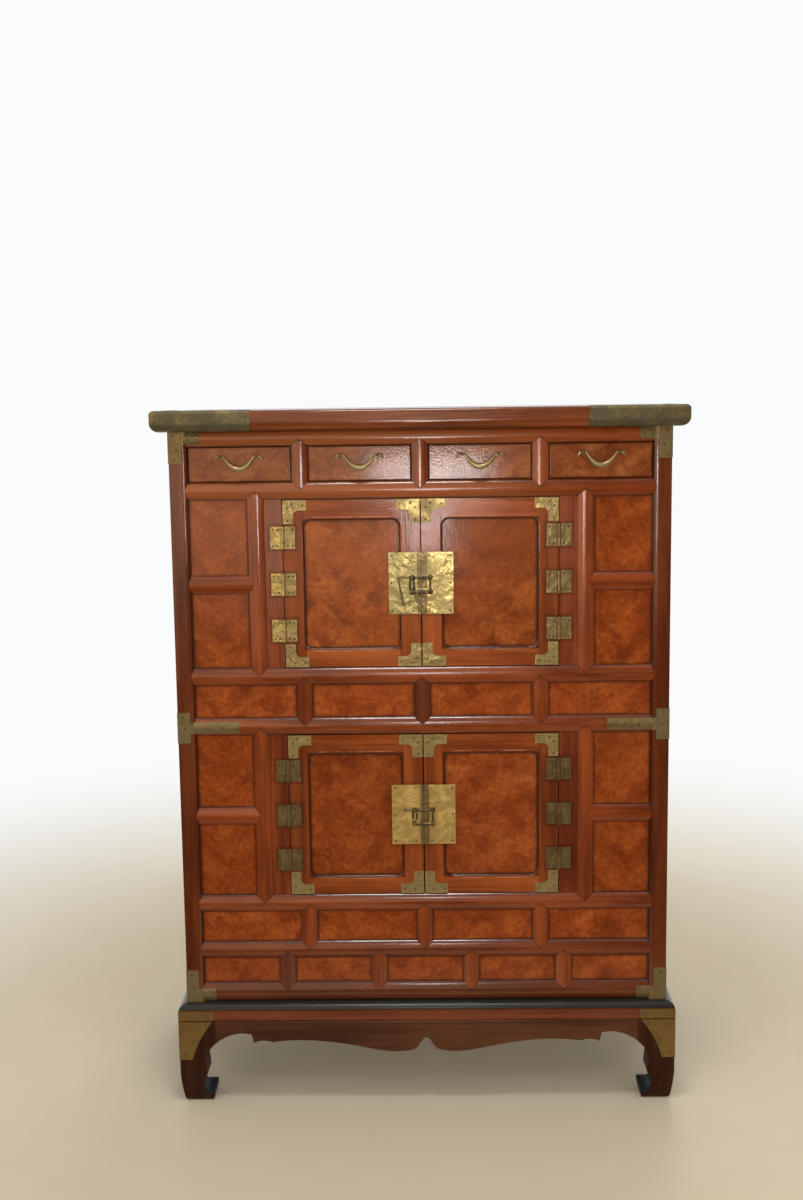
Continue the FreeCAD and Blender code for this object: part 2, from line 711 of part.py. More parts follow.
def hinge_leaf(centre, direction, spans):
    """A plate on one side of the pin, with a tab to each of its knuckles."""
    relief = HINGE_X + direction * (KNUCKLE_RADIUS + LEAF_RELIEF)
    far = HINGE_X + direction * HINGE_LEAF
    face = DOOR_FACE - LEAF_THICKNESS
    pieces = [box(min(relief, far), max(relief, far), face, DOOR_FACE,
                  centre - HINGE_HEIGHT / 2, centre + HINGE_HEIGHT / 2)]
    for low, high in spans:
        pieces.append(box(min(relief, HINGE_X), max(relief, HINGE_X), face, DOOR_FACE, low, high))
        pieces.append(cylinder(KNUCKLE_RADIUS, V(HINGE_X, HINGE_Y, low), V(HINGE_X, HINGE_Y, high)))
    bore = cylinder(PIN_RADIUS + PIN_CLEARANCE, V(HINGE_X, HINGE_Y, centre - HINGE_HEIGHT),
                    V(HINGE_X, HINGE_Y, centre + HINGE_HEIGHT))
    return joined(pieces).cut(bore)


def hinge_pin(centre):
    low, high = centre - HINGE_HEIGHT / 2, centre + HINGE_HEIGHT / 2
    head = PIN_RADIUS + PIN_HEAD / 2
    return joined([cylinder(PIN_RADIUS, V(HINGE_X, HINGE_Y, low), V(HINGE_X, HINGE_Y, high)),
                   cylinder(head, V(HINGE_X, HINGE_Y, low - PIN_HEAD), V(HINGE_X, HINGE_Y, low)),
                   cylinder(head, V(HINGE_X, HINGE_Y, high), V(HINGE_X, HINGE_Y, high + PIN_HEAD))])


def hinge_centres(span):
    middle = middle_of(span)
    return [middle + (i - (HINGE_COUNT - 1) / 2) * HINGE_PITCH for i in range(HINGE_COUNT)]


for door_span in (LOWER_DOORS_Z, UPPER_DOORS_Z):
    for hinge_z in hinge_centres(door_span):
        bottom, middle, top = knuckle_spans(hinge_z)
        add("frame_hinge_leaves", *both_sides(hinge_leaf(hinge_z, 1, [bottom, top])))
        add("hinge_pins", *both_sides(hinge_pin(hinge_z)))

# Doors: a grooved frame round a panel with rounded corners


def rounded_opening(x0, x1, z0, z1, radius, y, run):
    """A rectangle with rounded corners, seen from the front, made run deep."""
    k = radius * (1 - DIAGONAL)
    corners = [(x1, z0, -1, 1), (x1, z1, -1, -1), (x0, z1, 1, -1), (x0, z0, 1, 1)]
    arcs = []
    for i, (x, z, dx, dz) in enumerate(corners):
        level, upright_end = V(x + dx * radius, y, z), V(x, y, z + dz * radius)
        middle = V(x + dx * k, y, z + dz * k)
        arcs.append([level, middle, upright_end] if i % 2 == 0 else [upright_end, middle, level])
    sides = [[arcs[i - 1][2], arcs[i][0]] for i in range(len(arcs))]
    return prism(outline(*arcs, *sides), V(0, run, 0))


def door_frame(x0, x1, z0, z1):
    """The two stiles and two rails of a door, and its panel."""
    inner = (x0 + DOOR_STILE, x1 - DOOR_STILE, z0 + DOOR_BOTTOM_RAIL, z1 - DOOR_TOP_RAIL)
    blank = box(x0, x1, DOOR_FACE, DOOR_BACK, z0, z1).cut(
        rounded_opening(*inner, DOOR_CORNER, DOOR_FACE, DOOR_THICKNESS))
    rim = [edge for edge in blank.Edges if edge.BoundBox.YMax < DOOR_FACE + FIT
           and edge.BoundBox.XMin > x0 + FIT and edge.BoundBox.XMax < x1 - FIT]
    blank = blank.makeFillet(DOOR_BEAD, rim)
    held = (inner[0] - PANEL_TONGUE, inner[1] + PANEL_TONGUE,
            inner[2] - PANEL_TONGUE, inner[3] + PANEL_TONGUE)
    panel_start = DOOR_FACE + DOOR_PANEL_RECESS
    panel = rounded_opening(*held, DOOR_CORNER + PANEL_TONGUE, panel_start, PANEL_THICKNESS)
    groove = rounded_opening(held[0] - FIT, held[1] + FIT, held[2] - FIT, held[3] + FIT,
                             DOOR_CORNER + PANEL_TONGUE + FIT, panel_start - FIT, PANEL_THICKNESS + 2 * FIT)
    blank = blank.cut(groove)
    members = [blank.common(box(x0, inner[0], DOOR_FACE, DOOR_BACK, z0, z1)),
               blank.common(box(inner[1], x1, DOOR_FACE, DOOR_BACK, z0, z1)),
               blank.common(box(inner[0], inner[1], DOOR_FACE, DOOR_BACK, z0, inner[2] + DOOR_CORNER)),
               blank.common(box(inner[0], inner[1], DOOR_FACE, DOOR_BACK, inner[3] - DOOR_CORNER, z1))]
    return members, panel


def corner_plate(x, z, dx, dz):
    """An L-shaped plate at the door corner x, z, with its arms running along dx and dz."""
    p = lambda u, w: V(x + dx * u, DOOR_FACE - PLATE, z + dz * w)
    turn = CORNER_ARM + CORNER_COVE
    k = turn - CORNER_COVE * DIAGONAL
    cove = [p(turn, CORNER_ARM), p(k, k), p(CORNER_ARM, turn)]
    rest = [cove[2], p(CORNER_ARM, CORNER_PLATE), p(0, CORNER_PLATE), p(0, 0), p(CORNER_PLATE, 0),
            p(CORNER_PLATE, CORNER_ARM), cove[0]]
    return prism(outline(cove, *steps(rest)), V(0, PLATE, 0))


PLATE_FACE = DOOR_FACE - PLATE
STAPLE_Y = PLATE_FACE - STAPLE_LIFT
SEAM_HALF = DOOR_SEAM / 2


def hanging_pin(z, side):
    """The loose pin that hangs from a staple's barrel beside the seam."""
    width = V(PIN_WIDTH / 2, 0, 0)
    top = V(side * PIN_TOP_IN, STAPLE_Y - PIN_THICKNESS / 2, z)
    foot = V(side * PIN_FOOT_IN, top.y, z - PIN_DROP)
    return polygon_prism([top - width, top + width, foot + width / 2, foot - width / 2],
                         V(0, PIN_THICKNESS, 0))


def lock_half(centre, rib_width, side, pinned):
    """Half of a lock plate with its rib beside the seam, two staples bored for a bolt and their links."""
    low, high = centre - LOCK_HEIGHT / 2, centre + LOCK_HEIGHT / 2
    plate = box(SEAM_HALF, LOCK_WIDTH, PLATE_FACE, DOOR_FACE, low, high)
    p = lambda x, y: V(x, y, low)
    rib_start = RIB_SEAM_GAP / 2
    rib_end = SEAM_HALF + rib_width
    rib = polygon_prism([p(rib_start, PLATE_FACE), p(rib_start, PLATE_FACE - LOCK_RIB),
                         p(rib_end - LOCK_RIB / 2, PLATE_FACE - LOCK_RIB), p(rib_end, PLATE_FACE)],
                        V(0, 0, high - low))
    pieces = [on_side(joined([plate, rib]), side)]
    balls = []
    for offset in (STAPLE_HIGH, STAPLE_LOW):
        eye = V(side * STAPLE_X, STAPLE_Y, centre + offset)
        seam_end = V(side * rib_start, STAPLE_Y, eye.z)
        balls.append(Part.makeSphere(STAPLE_BALL, eye))
        staple = [balls[-1], cylinder(BARREL_RADIUS, seam_end, eye),
                  cylinder(STAPLE_STEM, eye, V(eye.x, PLATE_FACE, eye.z))]
        if pinned and offset == STAPLE_LOW:
            staple.append(hanging_pin(eye.z, side))
        bore = cylinder(BOLT_RADIUS + BOLT_CLEARANCE, V(0, STAPLE_Y, eye.z), V(2 * eye.x, STAPLE_Y, eye.z))
        pieces.append(joined(staple).cut(bore))
    for x in LINKS[side]:
        link = cylinder(LINK_RADIUS, V(x, STAPLE_Y, centre + STAPLE_LOW + LINK_END_GAP),
                        V(x, STAPLE_Y, centre + STAPLE_HIGH - LINK_END_GAP))
        pieces.append(link.cut(balls))
    return pieces


LINKS = {-1: (-STAPLE_X - LINK_SPREAD, -STAPLE_X + LINK_SPREAD), 1: (STAPLE_X,)}
DOORS = [("upper", UPPER_DOORS_Z), ("lower", LOWER_DOORS_Z)]
SIDES = [("left", -1, LEFT_RIB_WIDTH), ("right", 1, RIGHT_RIB_WIDTH)]

for level, door_span in DOORS:
    z0, z1 = door_span[0] + DOOR_HEIGHT_GAP, door_span[1] - DOOR_HEIGHT_GAP
    members, door_panel = door_frame(SEAM_HALF, DOOR_EDGE, z0, z1)
    brass = [corner_plate(x, z, dx, dz)
             for x, dx in ((SEAM_HALF, 1), (DOOR_EDGE, -1)) for z, dz in ((z0, 1), (z1, -1))]
    brass += [hinge_leaf(z, -1, knuckle_spans(z)[1:2]) for z in hinge_centres(door_span)]
    for side_name, side, rib_width in SIDES:
        name = level + "_" + side_name + "_door"
        marked = name == "upper_left_door"
        sided = [on_side(member, side) for member in members]
        if marked:
            mouth = V(side * (SEAM_HALF + NAIL_HOLE_IN), DOOR_FACE, z1 - NAIL_HOLE_DOWN)
            nail_hole = cylinder(NAIL_HOLE, mouth, mouth + V(0, NAIL_HOLE_DEPTH, 0))
            sided = [trimmed(member, [nail_hole]) for member in sided]
        add(name + "_frame", *sided)
        add(name + "_panel", on_side(door_panel, side))
        add(name + "_fittings", *[on_side(piece, side) for piece in brass])
        add(name + "_lock", *lock_half(middle_of(door_span), rib_width, side, marked))

# Lock bolts: a bar in the left door's upper staple, ready to cross the seam


BOLT_TIP = -SEAM_HALF - BOLT_TIP_GAP


def turned_bolt(end, z):
    """A round bolt with a ball on its outer end."""
    p = lambda x, out: V(x, STAPLE_Y, z + out)
    neck = -end + math.sqrt(BOLT_KNOB ** 2 - BOLT_RADIUS ** 2)
    ball = [p(-end - BOLT_KNOB, 0), p(-end, BOLT_KNOB), p(neck, BOLT_RADIUS)]
    bar = [ball[2], p(BOLT_TIP, BOLT_RADIUS), p(BOLT_TIP, 0), ball[0]]
    return face_within(outline(ball, *steps(bar))).revolve(p(0, 0), V(1, 0, 0), 360)


upper_bolt_z = middle_of(UPPER_DOORS_Z) + STAPLE_HIGH
lean = math.radians(TAIL_LEAN)
tail_top = V(-UPPER_BOLT_END, STAPLE_Y, upper_bolt_z)
tail_foot = tail_top + V(math.sin(lean), 0, -math.cos(lean)) * TAIL_LENGTH
neck = V(math.cos(lean), 0, math.sin(lean)) * (TAIL_NECK / 2)
blade = V(math.cos(lean), 0, math.sin(lean)) * (TAIL_WIDTH / 2)
tail = polygon_prism([tail_top - neck, tail_top + neck, tail_foot + blade, tail_foot - blade],
                     V(0, BOLT_RADIUS, 0)).translated(V(0, -BOLT_RADIUS / 2, 0))
elbow = Part.makeSphere(BOLT_RADIUS, tail_top)
bar = cylinder(BOLT_RADIUS, tail_top, V(BOLT_TIP, STAPLE_Y, upper_bolt_z))
add("upper_lock_bolt", joined([bar, elbow, tail]))

add("lower_lock_bolt", turned_bolt(LOWER_BOLT_END, middle_of(LOWER_DOORS_Z) + STAPLE_HIGH))

# Drawers: a thick front, thin sides, back and bottom, and a bail hung in two posts


def drawer_box(x0, x1, z0, z1):
    start = DOOR_FACE + DRAWER_FRONT_THICKNESS
    end = BACK_RAIL_INNER - DRAWER_BACK_GAP
    bottom = z0 + DRAWER_SIDE
    sides = [box(x0, x0 + DRAWER_SIDE, start, end, z0, z1), box(x1 - DRAWER_SIDE, x1, start, end, z0, z1)]
    rear = box(x0 + DRAWER_SIDE, x1 - DRAWER_SIDE, end - DRAWER_SIDE, end, bottom + DRAWER_BOTTOM, z1)
    floor = box(x0 + DRAWER_SIDE, x1 - DRAWER_SIDE, start, end, bottom, bottom + DRAWER_BOTTOM)
    return sides + [rear, floor]


def pull_posts(centre, axis):
    pieces = []
    for side in (-1, 1):
        eye = V(centre + side * PULL_SPAN / 2, axis.y, axis.z)
        stem = cylinder(PULL_STEM, eye, V(eye.x, DOOR_FACE + PULL_STEM_DEPTH, eye.z))
        bore = cylinder(TRUNNION + PIN_CLEARANCE, eye - V(2 * PULL_EYE, 0, 0), eye + V(2 * PULL_EYE, 0, 0))
        pieces.append(joined([Part.makeSphere(PULL_EYE, eye), stem]).cut(bore))
    return pieces


def pull_bail(axis):
    """A bow thick in its middle, with a trunnion through each post and an ear turned down outside it."""
    half = PULL_SPAN / 2 - PULL_EYE - PULL_THIN - PULL_SIDE_GAP
    rings = []
    for ring in range(PULL_RINGS):
        share = 2 * ring / (PULL_RINGS - 1) - 1
        spot = V(share * half, axis.y, axis.z - PULL_DROP * (1 - share ** 2))
        run = V(half, 0, 2 * PULL_DROP * share)
        size = PULL_THIN + (PULL_THICK - PULL_THIN) * math.cos(share * math.pi / 2)
        rings.append(Part.Wire(Part.makeCircle(size, spot, run)))
    pieces = [Part.makeLoft(rings, True)]
    slope = math.radians(EAR_SLOPE)
    for side in (-1, 1):
        elbow = V(side * half, axis.y, axis.z)
        ear_root = V(side * (PULL_SPAN / 2 + PULL_EYE + PULL_SIDE_GAP + EAR_THICK), axis.y, axis.z)
        ear_run = V(side * math.cos(slope), 0, -math.sin(slope))
        pieces += [Part.makeSphere(PULL_THIN, elbow), cylinder(TRUNNION, elbow, ear_root),
                   Part.makeSphere(EAR_THICK, ear_root),
                   Part.makeSphere(EAR_TIP, ear_root + ear_run * EAR_LENGTH),
                   Part.makeCone(EAR_THICK, EAR_TIP, EAR_LENGTH, ear_root, ear_run)]
    return joined(pieces)


pull_axis = V(0, DOOR_FACE - PULL_LIFT, DRAWERS_Z[0] + PULL_HEIGHT)
bail = pull_bail(pull_axis)

for number, span in enumerate(drawer_spans, start=1):
    name = "drawer_%d" % number
    middle_x = middle_of(span)
    mouths = [V(middle_x + side * PULL_SPAN / 2, DOOR_FACE, pull_axis.z) for side in (-1, 1)]
    sockets = [cylinder(PULL_STEM + PIN_CLEARANCE, mouth, mouth + V(0, PULL_STEM_DEPTH + FIT, 0))
               for mouth in mouths]
    face = box(span[0] + DRAWER_GAP, span[1] - DRAWER_GAP, DOOR_FACE, DOOR_FACE + DRAWER_FRONT_THICKNESS,
               DRAWERS_Z[0] + DRAWER_GAP, DRAWERS_Z[1] - DRAWER_GAP)
    rim = [edge for edge in face.Edges if edge.BoundBox.YMax < DOOR_FACE + FIT]
    add(name + "_front", face.makeFillet(DRAWER_EDGE, rim).cut(sockets))
    add(name + "_box", *drawer_box(span[0] + DRAWER_SIDE_CLEARANCE, span[1] - DRAWER_SIDE_CLEARANCE,
                                   DRAWERS_Z[0] + DRAWER_RUN_GAP, DRAWERS_Z[1] - DRAWER_SIDE_DROP))
    add(name + "_pull_posts", *pull_posts(middle_x, pull_axis))
    add(name + "_pull", bail.translated(V(middle_x, 0, 0)))

# Stand: a mitred top frame with a rounded ledge and a grooved fascia, on four legs and aprons

LEDGE_LOW = STAND_HEIGHT - STAND_LEDGE_DROP
FASCIA_TOP = LEDGE_LOW - STAND_GROOVE
FASCIA_LOW = FASCIA_TOP - STAND_FASCIA


def ledge_section(place):
    """The frame's moulded section: place(out, z) puts a point out millimetres outside the body."""
    out = STAND_OVERHANG
    step = out - STAND_GROOVE
    inside = out - STAND_FRAME_WIDTH
    radius = (out ** 2 + STAND_LEDGE_DROP ** 2) / (2 * STAND_LEDGE_DROP)
    turn = math.asin(out / radius) / 2
    ledge = [place(0, STAND_HEIGHT),
             place(radius * math.sin(turn), STAND_HEIGHT - radius * (1 - math.cos(turn))),
             place(out, LEDGE_LOW)]
    corners = [ledge[2], place(step, LEDGE_LOW), place(step, FASCIA_TOP), place(out, FASCIA_TOP),
               place(out, FASCIA_LOW), place(step, FASCIA_LOW), place(step, LEG_TOP), place(inside, LEG_TOP),
               place(inside, STAND_HEIGHT), ledge[0]]
    return outline(ledge, *steps(corners))


def corner_wedge(x_outer, y_outer):
    """The part of the plan in front of the mitre line at each front corner."""
    far = STAND_FRAME_WIDTH + STAND_OVERHANG
    low = V(0, 0, LEG_TOP)
    return polygon_prism([low + V(-x_outer - far, y_outer - far, 0),
                          low + V(x_outer + far, y_outer - far, 0),
                          low + V(x_outer - STAND_FRAME_WIDTH, y_outer + STAND_FRAME_WIDTH, 0),
                          low + V(-x_outer + STAND_FRAME_WIDTH, y_outer + STAND_FRAME_WIDTH, 0)],
                         V(0, 0, STAND_FRAME))


wedge = corner_wedge(STAND_HALF, STAND_FRONT)
front_section = ledge_section(lambda out, z: V(-STAND_HALF, FRONT - out, z))
front_member = prism(front_section, V(2 * STAND_HALF, 0, 0)).common(wedge)
side_section = ledge_section(lambda out, z: V(HALF + out, STAND_FRONT, z))
side_member = prism(side_section, V(0, BACK - STAND_FRONT, 0)).cut(wedge)
stand_inner = STAND_HALF - STAND_FRAME_WIDTH
back_member = box(-stand_inner, stand_inner, BACK - STAND_FRAME_WIDTH, BACK, LEG_TOP, STAND_HEIGHT)


def leg_outline(place):
    """The leg seen from one side: place(inward, z) is a point inward from the outer face."""
    heel = [place(0, HEEL_HIGH), place(HEEL_SWELL, middle_of((HEEL_LOW, HEEL_HIGH))),
            place(HEEL_LEAN, HEEL_LOW)]
    turn = [heel[2], place(HEEL_TURN_IN, HEEL_TURN_UP), place(SOLE_OUTER, 0)]
    toe = [place(SOLE_INNER, 0), place((SOLE_INNER + 2 * TOE_REACH) / 3, TOE_SWELL_UP),
           place(TOE_REACH, TOE_LOW)]
    scroll = [place(TOE_REACH, TOE_HIGH), place(SCROLL_DEEP, SCROLL_DEEP_UP), place(ANKLE_LIP, ANKLE_LOW)]
    knee = [place(ANKLE, ANKLE_HIGH), place((2 * ANKLE + LEG) / 3, middle_of((ANKLE_HIGH, KNEE_SPRING))),
            place(LEG, KNEE_SPRING)]
    top = [knee[2], place(LEG, LEG_TOP), place(0, LEG_TOP), heel[0]]
    return outline(heel, turn, [turn[2], toe[0]], toe, [toe[2], scroll[0]], scroll, [scroll[2], knee[0]],
                   knee, *steps(top))


def leg_solid():
    from_front = prism(leg_outline(lambda u, z: V(STAND_HALF - u, STAND_FRONT, z)), V(0, LEG, 0))
    from_side = prism(leg_outline(lambda u, z: V(STAND_HALF, STAND_FRONT + u, z)), V(-LEG, 0, 0))
    return from_front.common(from_side)


leg = leg_solid()
tenon_inset = (LEG - LEG_TENON) / 2
leg_tenon = box(STAND_HALF - tenon_inset - LEG_TENON, STAND_HALF - tenon_inset, STAND_FRONT + tenon_inset,
                STAND_FRONT + tenon_inset + LEG_TENON, LEG_TOP, LEG_TOP + LEG_TENON_HEIGHT)
stand_middle = (STAND_FRONT + BACK) / 2
tenoned_leg = joined([leg, leg_tenon])
back_leg = tenoned_leg.mirror(V(0, stand_middle, 0), V(0, 1, 0))
back_tenon = leg_tenon.mirror(V(0, stand_middle, 0), V(0, 1, 0))
leg_mortises = [grown(t, FIT) for t in both_sides(leg_tenon) + both_sides(back_tenon)]
add("stand_legs", *both_sides(tenoned_leg), *both_sides(back_leg))
for member in [front_member, *both_sides(side_member), back_member]:
    add("stand_frame", trimmed(member, leg_mortises))

# Aprons: an arch beside each leg, a small scallop, then a long sweep to a notch in the middle

def arch_edge(place):
    """The arch beside the leg and its scallop: place(inward, z) counts from the leg's side."""
    p = lambda spot: place(*spot)
    return [[place(0, KNEE_SPRING), p(ARCH_SPRING), p(ARCH_PEAK), p(ARCH_END)], [p(ARCH_END), p(STEP_FOOT)],
            [p(STEP_FOOT), p(SCALLOP), p(SCALLOP_END)]]


def swept_half(place, half):
    """Lower edge from the leg to the middle, ending in the notch."""
    lip = place(half - NOTCH_HALF, SWEEP_LOW + LOBE_RISE)
    lobe = half - NOTCH_HALF - LOBE_RUN
    middle = SWEEP_HIGH[0] + (lobe - SWEEP_HIGH[0]) * SWEEP_MIDDLE
    return arch_edge(place) + [
        [place(*SCALLOP_END), place(*SWEEP_HIGH), place(middle, SWEEP_HIGH[1] - SWEEP_MIDDLE_DROP),
         place(lobe, SWEEP_LOW), lip],
        [lip, place(half - NOTCH_WAIST, SWEEP_LOW + NOTCH_WAIST_RISE),
         place(half - NOTCH_CROWN, NOTCH_PEAK - NOTCH_CROWN_DROP), place(half, NOTCH_PEAK)]]


def level_half(place, half):
    """Lower edge of a side apron: the same arch and scallop, then level to the middle."""
    return arch_edge(place) + [[place(*SCALLOP_END), place(half, SCALLOP_END[1])]]


def apron(half_edge, half, spot, run):
    """An apron board: spot(across, z) places a point, across counting from the board's middle."""
    right = half_edge(lambda inward, z: spot(half - inward, z), half)
    left = half_edge(lambda inward, z: spot(inward - half, z), half)
    ends = [spot(half, LEG_TOP), spot(-half, LEG_TOP)]
    return prism(outline(*right, *left, [right[0][0], ends[0]], ends, [ends[1], left[0][0]]), run)


apron_front = STAND_FRONT + APRON_SETBACK
front_half = STAND_HALF - LEG
front_apron = apron(swept_half, front_half, lambda x, z: V(x, apron_front, z), V(0, APRON_THICKNESS, 0))
bead_z = LEG_TOP - APRON_BEAD
front_bead = cylinder(APRON_BEAD, V(-front_half, apron_front, bead_z), V(front_half, apron_front, bead_z))
side_half = (BACK - STAND_FRONT) / 2 - LEG
apron_side = STAND_HALF - APRON_SETBACK
side_apron = apron(level_half, side_half, lambda y, z: V(apron_side, stand_middle + y, z),
                   V(-APRON_THICKNESS, 0, 0))
side_bead = cylinder(APRON_BEAD, V(apron_side, stand_middle - side_half, bead_z),
                     V(apron_side, stand_middle + side_half, bead_z))
back_apron = box(-front_half, front_half, BACK - APRON_SETBACK - APRON_THICKNESS, BACK - APRON_SETBACK,
                 LEG_TOP - BACK_APRON_DEPTH, LEG_TOP)
add("stand_aprons", joined([front_apron, front_bead]), back_apron)
add("stand_aprons", *both_sides(joined([side_apron, side_bead])))

# Brass on the stand: a strip round each fascia corner and a plate over each knee

strip = box(STAND_HALF - STAND_BRASS_ARM, STAND_HALF + SHEET, STAND_FRONT - SHEET, STAND_FRONT,
            FASCIA_LOW, FASCIA_TOP)
strip_side = box(STAND_HALF, STAND_HALF + SHEET, STAND_FRONT, STAND_FRONT + STAND_BRASS_ARM,
                 FASCIA_LOW, FASCIA_TOP)


def knee_outline(place):
    low = LEG_TOP - KNEE_PLATE_HEIGHT
    inner = [place(KNEE_PLATE_FOOT, low), place(KNEE_PLATE_WAIST, LEG_TOP - KNEE_PLATE_WAIST_DROP),
             place(KNEE_PLATE_TOP, LEG_TOP)]
    return outline(inner, *steps([inner[2], place(0, LEG_TOP), place(0, low), inner[0]]))


front_knee = prism(knee_outline(lambda u, z: V(STAND_HALF + SHEET - u, STAND_FRONT, z)), V(0, -SHEET, 0))
side_knee = prism(knee_outline(lambda u, z: V(STAND_HALF, STAND_FRONT + u, z)), V(SHEET, 0, 0))
add("stand_brass", *both_sides(joined([strip, strip_side])), *both_sides(joined([front_knee, side_knee])))

os.makedirs("parts", exist_ok=True)
for node, solids in nodes.items():
    Part.makeCompound(solids).exportStep("parts/" + node + ".step")
print(len(nodes), "nodes,", sum(len(solids) for solids in nodes.values()), "solids")
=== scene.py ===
import math
from functools import reduce

import bpy
from mathutils import Matrix, Vector


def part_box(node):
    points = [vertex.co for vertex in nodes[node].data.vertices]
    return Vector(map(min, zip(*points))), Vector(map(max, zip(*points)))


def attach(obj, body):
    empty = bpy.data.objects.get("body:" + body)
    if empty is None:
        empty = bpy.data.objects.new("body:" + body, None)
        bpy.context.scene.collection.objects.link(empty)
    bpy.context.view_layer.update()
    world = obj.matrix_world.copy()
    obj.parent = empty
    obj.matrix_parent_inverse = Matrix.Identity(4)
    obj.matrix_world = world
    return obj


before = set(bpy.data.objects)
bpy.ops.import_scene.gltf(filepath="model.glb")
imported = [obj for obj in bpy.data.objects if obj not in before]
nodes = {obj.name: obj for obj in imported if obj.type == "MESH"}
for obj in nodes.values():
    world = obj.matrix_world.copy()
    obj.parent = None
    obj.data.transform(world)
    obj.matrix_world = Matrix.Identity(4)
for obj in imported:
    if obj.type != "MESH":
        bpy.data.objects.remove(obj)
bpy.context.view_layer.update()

DOORS = ["upper_left_door", "upper_right_door", "lower_left_door", "lower_right_door"]
DRAWERS = ["drawer_1", "drawer_2", "drawer_3", "drawer_4"]

# Sizes of the cabinet that the finishes and the nails follow, in metres

BOTTOM_RAIL = 0.032
PLINTH_HEIGHT = 0.044
BASE_HEIGHT = 0.054
LOWER_DOOR_HEIGHT = 0.279
MIDDLE_HEIGHT = 0.056
UPPER_DOOR_HEIGHT = 0.281
DRAWER_HEIGHT = 0.058
TOP_RAIL = 0.026
RAIL = 0.029
RAIL_CROWN = 0.007
RAIL_SETBACK = 0.0005
MUNTIN = 0.028
MUNTIN_CROWN = 0.0066
POST_WIDTH = 0.030
POST_ROUND = 0.009
DOOR_POST_WIDTH = 0.029
DOOR_OPENING_HALF = 0.228
DOOR_STILE = 0.035
PANEL_TONGUE = 0.005
PLINTH_COUNT = 5
ROW_COUNT = 4
BACK_BOARDS = 5

BRASS_SHEET = 0.0008
PLATE = 0.001
LEAF = 0.0012
HINGE_LINE = 0.2275
HINGE_STEP = 0.0775
HINGE_HALF_WIDTH = 0.0215
HINGE_HALF_HEIGHT = 0.0195
LOCK_RIB = (-0.0055, 0.0095)
STAPLE_DEPTH = 0.0033

LEDGE_HEIGHT = 0.0105
TOE_HEIGHT = 0.047
SOLE_EDGE = 0.014
ANKLE = 0.0385

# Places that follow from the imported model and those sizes


def stacked(start, heights):
    """Low and high level of each height, piled up from start."""
    spans = []
    for height in heights:
        spans.append((start, start + height))
        start += height
    return spans


def crown_radius(width, crown):
    """The radius of a face that swells by crown over its width."""
    return (width ** 2 / 4 + crown ** 2) / (2 * crown)


body_low, body_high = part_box("corner_posts")
FRONT = body_low.y
HALF_WIDTH = body_high.x
STAND_TOP = body_low.z
BODY_TOP = body_high.z
POST_INNER = HALF_WIDTH - POST_WIDTH
DOOR_POST_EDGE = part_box("door_side_posts")[1].x
DOOR_POST = DOOR_POST_EDGE - DOOR_POST_WIDTH / 2
DOOR_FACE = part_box("upper_left_door_frame")[0].y
RAIL_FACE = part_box("front_rails")[0].y
MUNTIN_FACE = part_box("row_muntins")[0].y
RAIL_CURVE = crown_radius(RAIL, RAIL_CROWN)
MUNTIN_CURVE = crown_radius(MUNTIN, MUNTIN_CROWN)
SLAB_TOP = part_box("top_slab")[1].z

stand_low, stand_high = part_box("stand_frame")
STAND_HALF = stand_high.x
STAND_FRONT = stand_low.y
STAND_BACK = stand_high.y
LEG_TOP = stand_low.z
LEDGE = STAND_TOP - LEDGE_HEIGHT

levels = stacked(STAND_TOP, [BOTTOM_RAIL, PLINTH_HEIGHT, RAIL, BASE_HEIGHT, RAIL, LOWER_DOOR_HEIGHT, RAIL,
                             MIDDLE_HEIGHT, RAIL, UPPER_DOOR_HEIGHT, RAIL, DRAWER_HEIGHT, TOP_RAIL])
RAIL_CENTRES = [(low + high) / 2 for low, high in levels[0::2]]
PLINTH_ROW, BASE_ROW, LOWER_DOORS, MIDDLE_ROW, UPPER_DOORS, DRAWER_ROW = levels[1::2]
PLINTH_RAIL = RAIL_CENTRES[1]
MIDDLE_RAIL = RAIL_CENTRES[3]
DRAWER_RAIL = RAIL_CENTRES[5]
HIGHLIGHTED_RAILS = RAIL_CENTRES[2:5] + RAIL_CENTRES[6:]
DOOR_MIDDLES = [(low + high) / 2 for low, high in (LOWER_DOORS, UPPER_DOORS)]

ROWS_WIDTH = 2 * POST_INNER + MUNTIN
PLINTH_PITCH = ROWS_WIDTH / PLINTH_COUNT
ROW_PITCH = ROWS_WIDTH / ROW_COUNT
COLUMN_PANELS_X = (DOOR_POST_EDGE, POST_INNER)
COLUMN_PANELS_Z = []
for (low, high), middle in zip((LOWER_DOORS, UPPER_DOORS), DOOR_MIDDLES):
    COLUMN_PANELS_Z += [(low, middle - RAIL / 2), (middle + RAIL / 2, high)]
SIDE_PANELS_Y = (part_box("side_panels")[0].y + PANEL_TONGUE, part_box("side_panels")[1].y - PANEL_TONGUE)
SIDE_PANELS_Z = [(PLINTH_ROW[0], LOWER_DOORS[1]), (MIDDLE_ROW[0], UPPER_DOORS[1]), DRAWER_ROW]

lock_low, lock_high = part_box("upper_right_door_lock")
LOCK_HALF_WIDTH = lock_high.x
LOCK_HALF_HEIGHT = (lock_high.z - lock_low.z) / 2
STAPLES_BACK = FRONT + STAPLE_DEPTH


# Shader maths


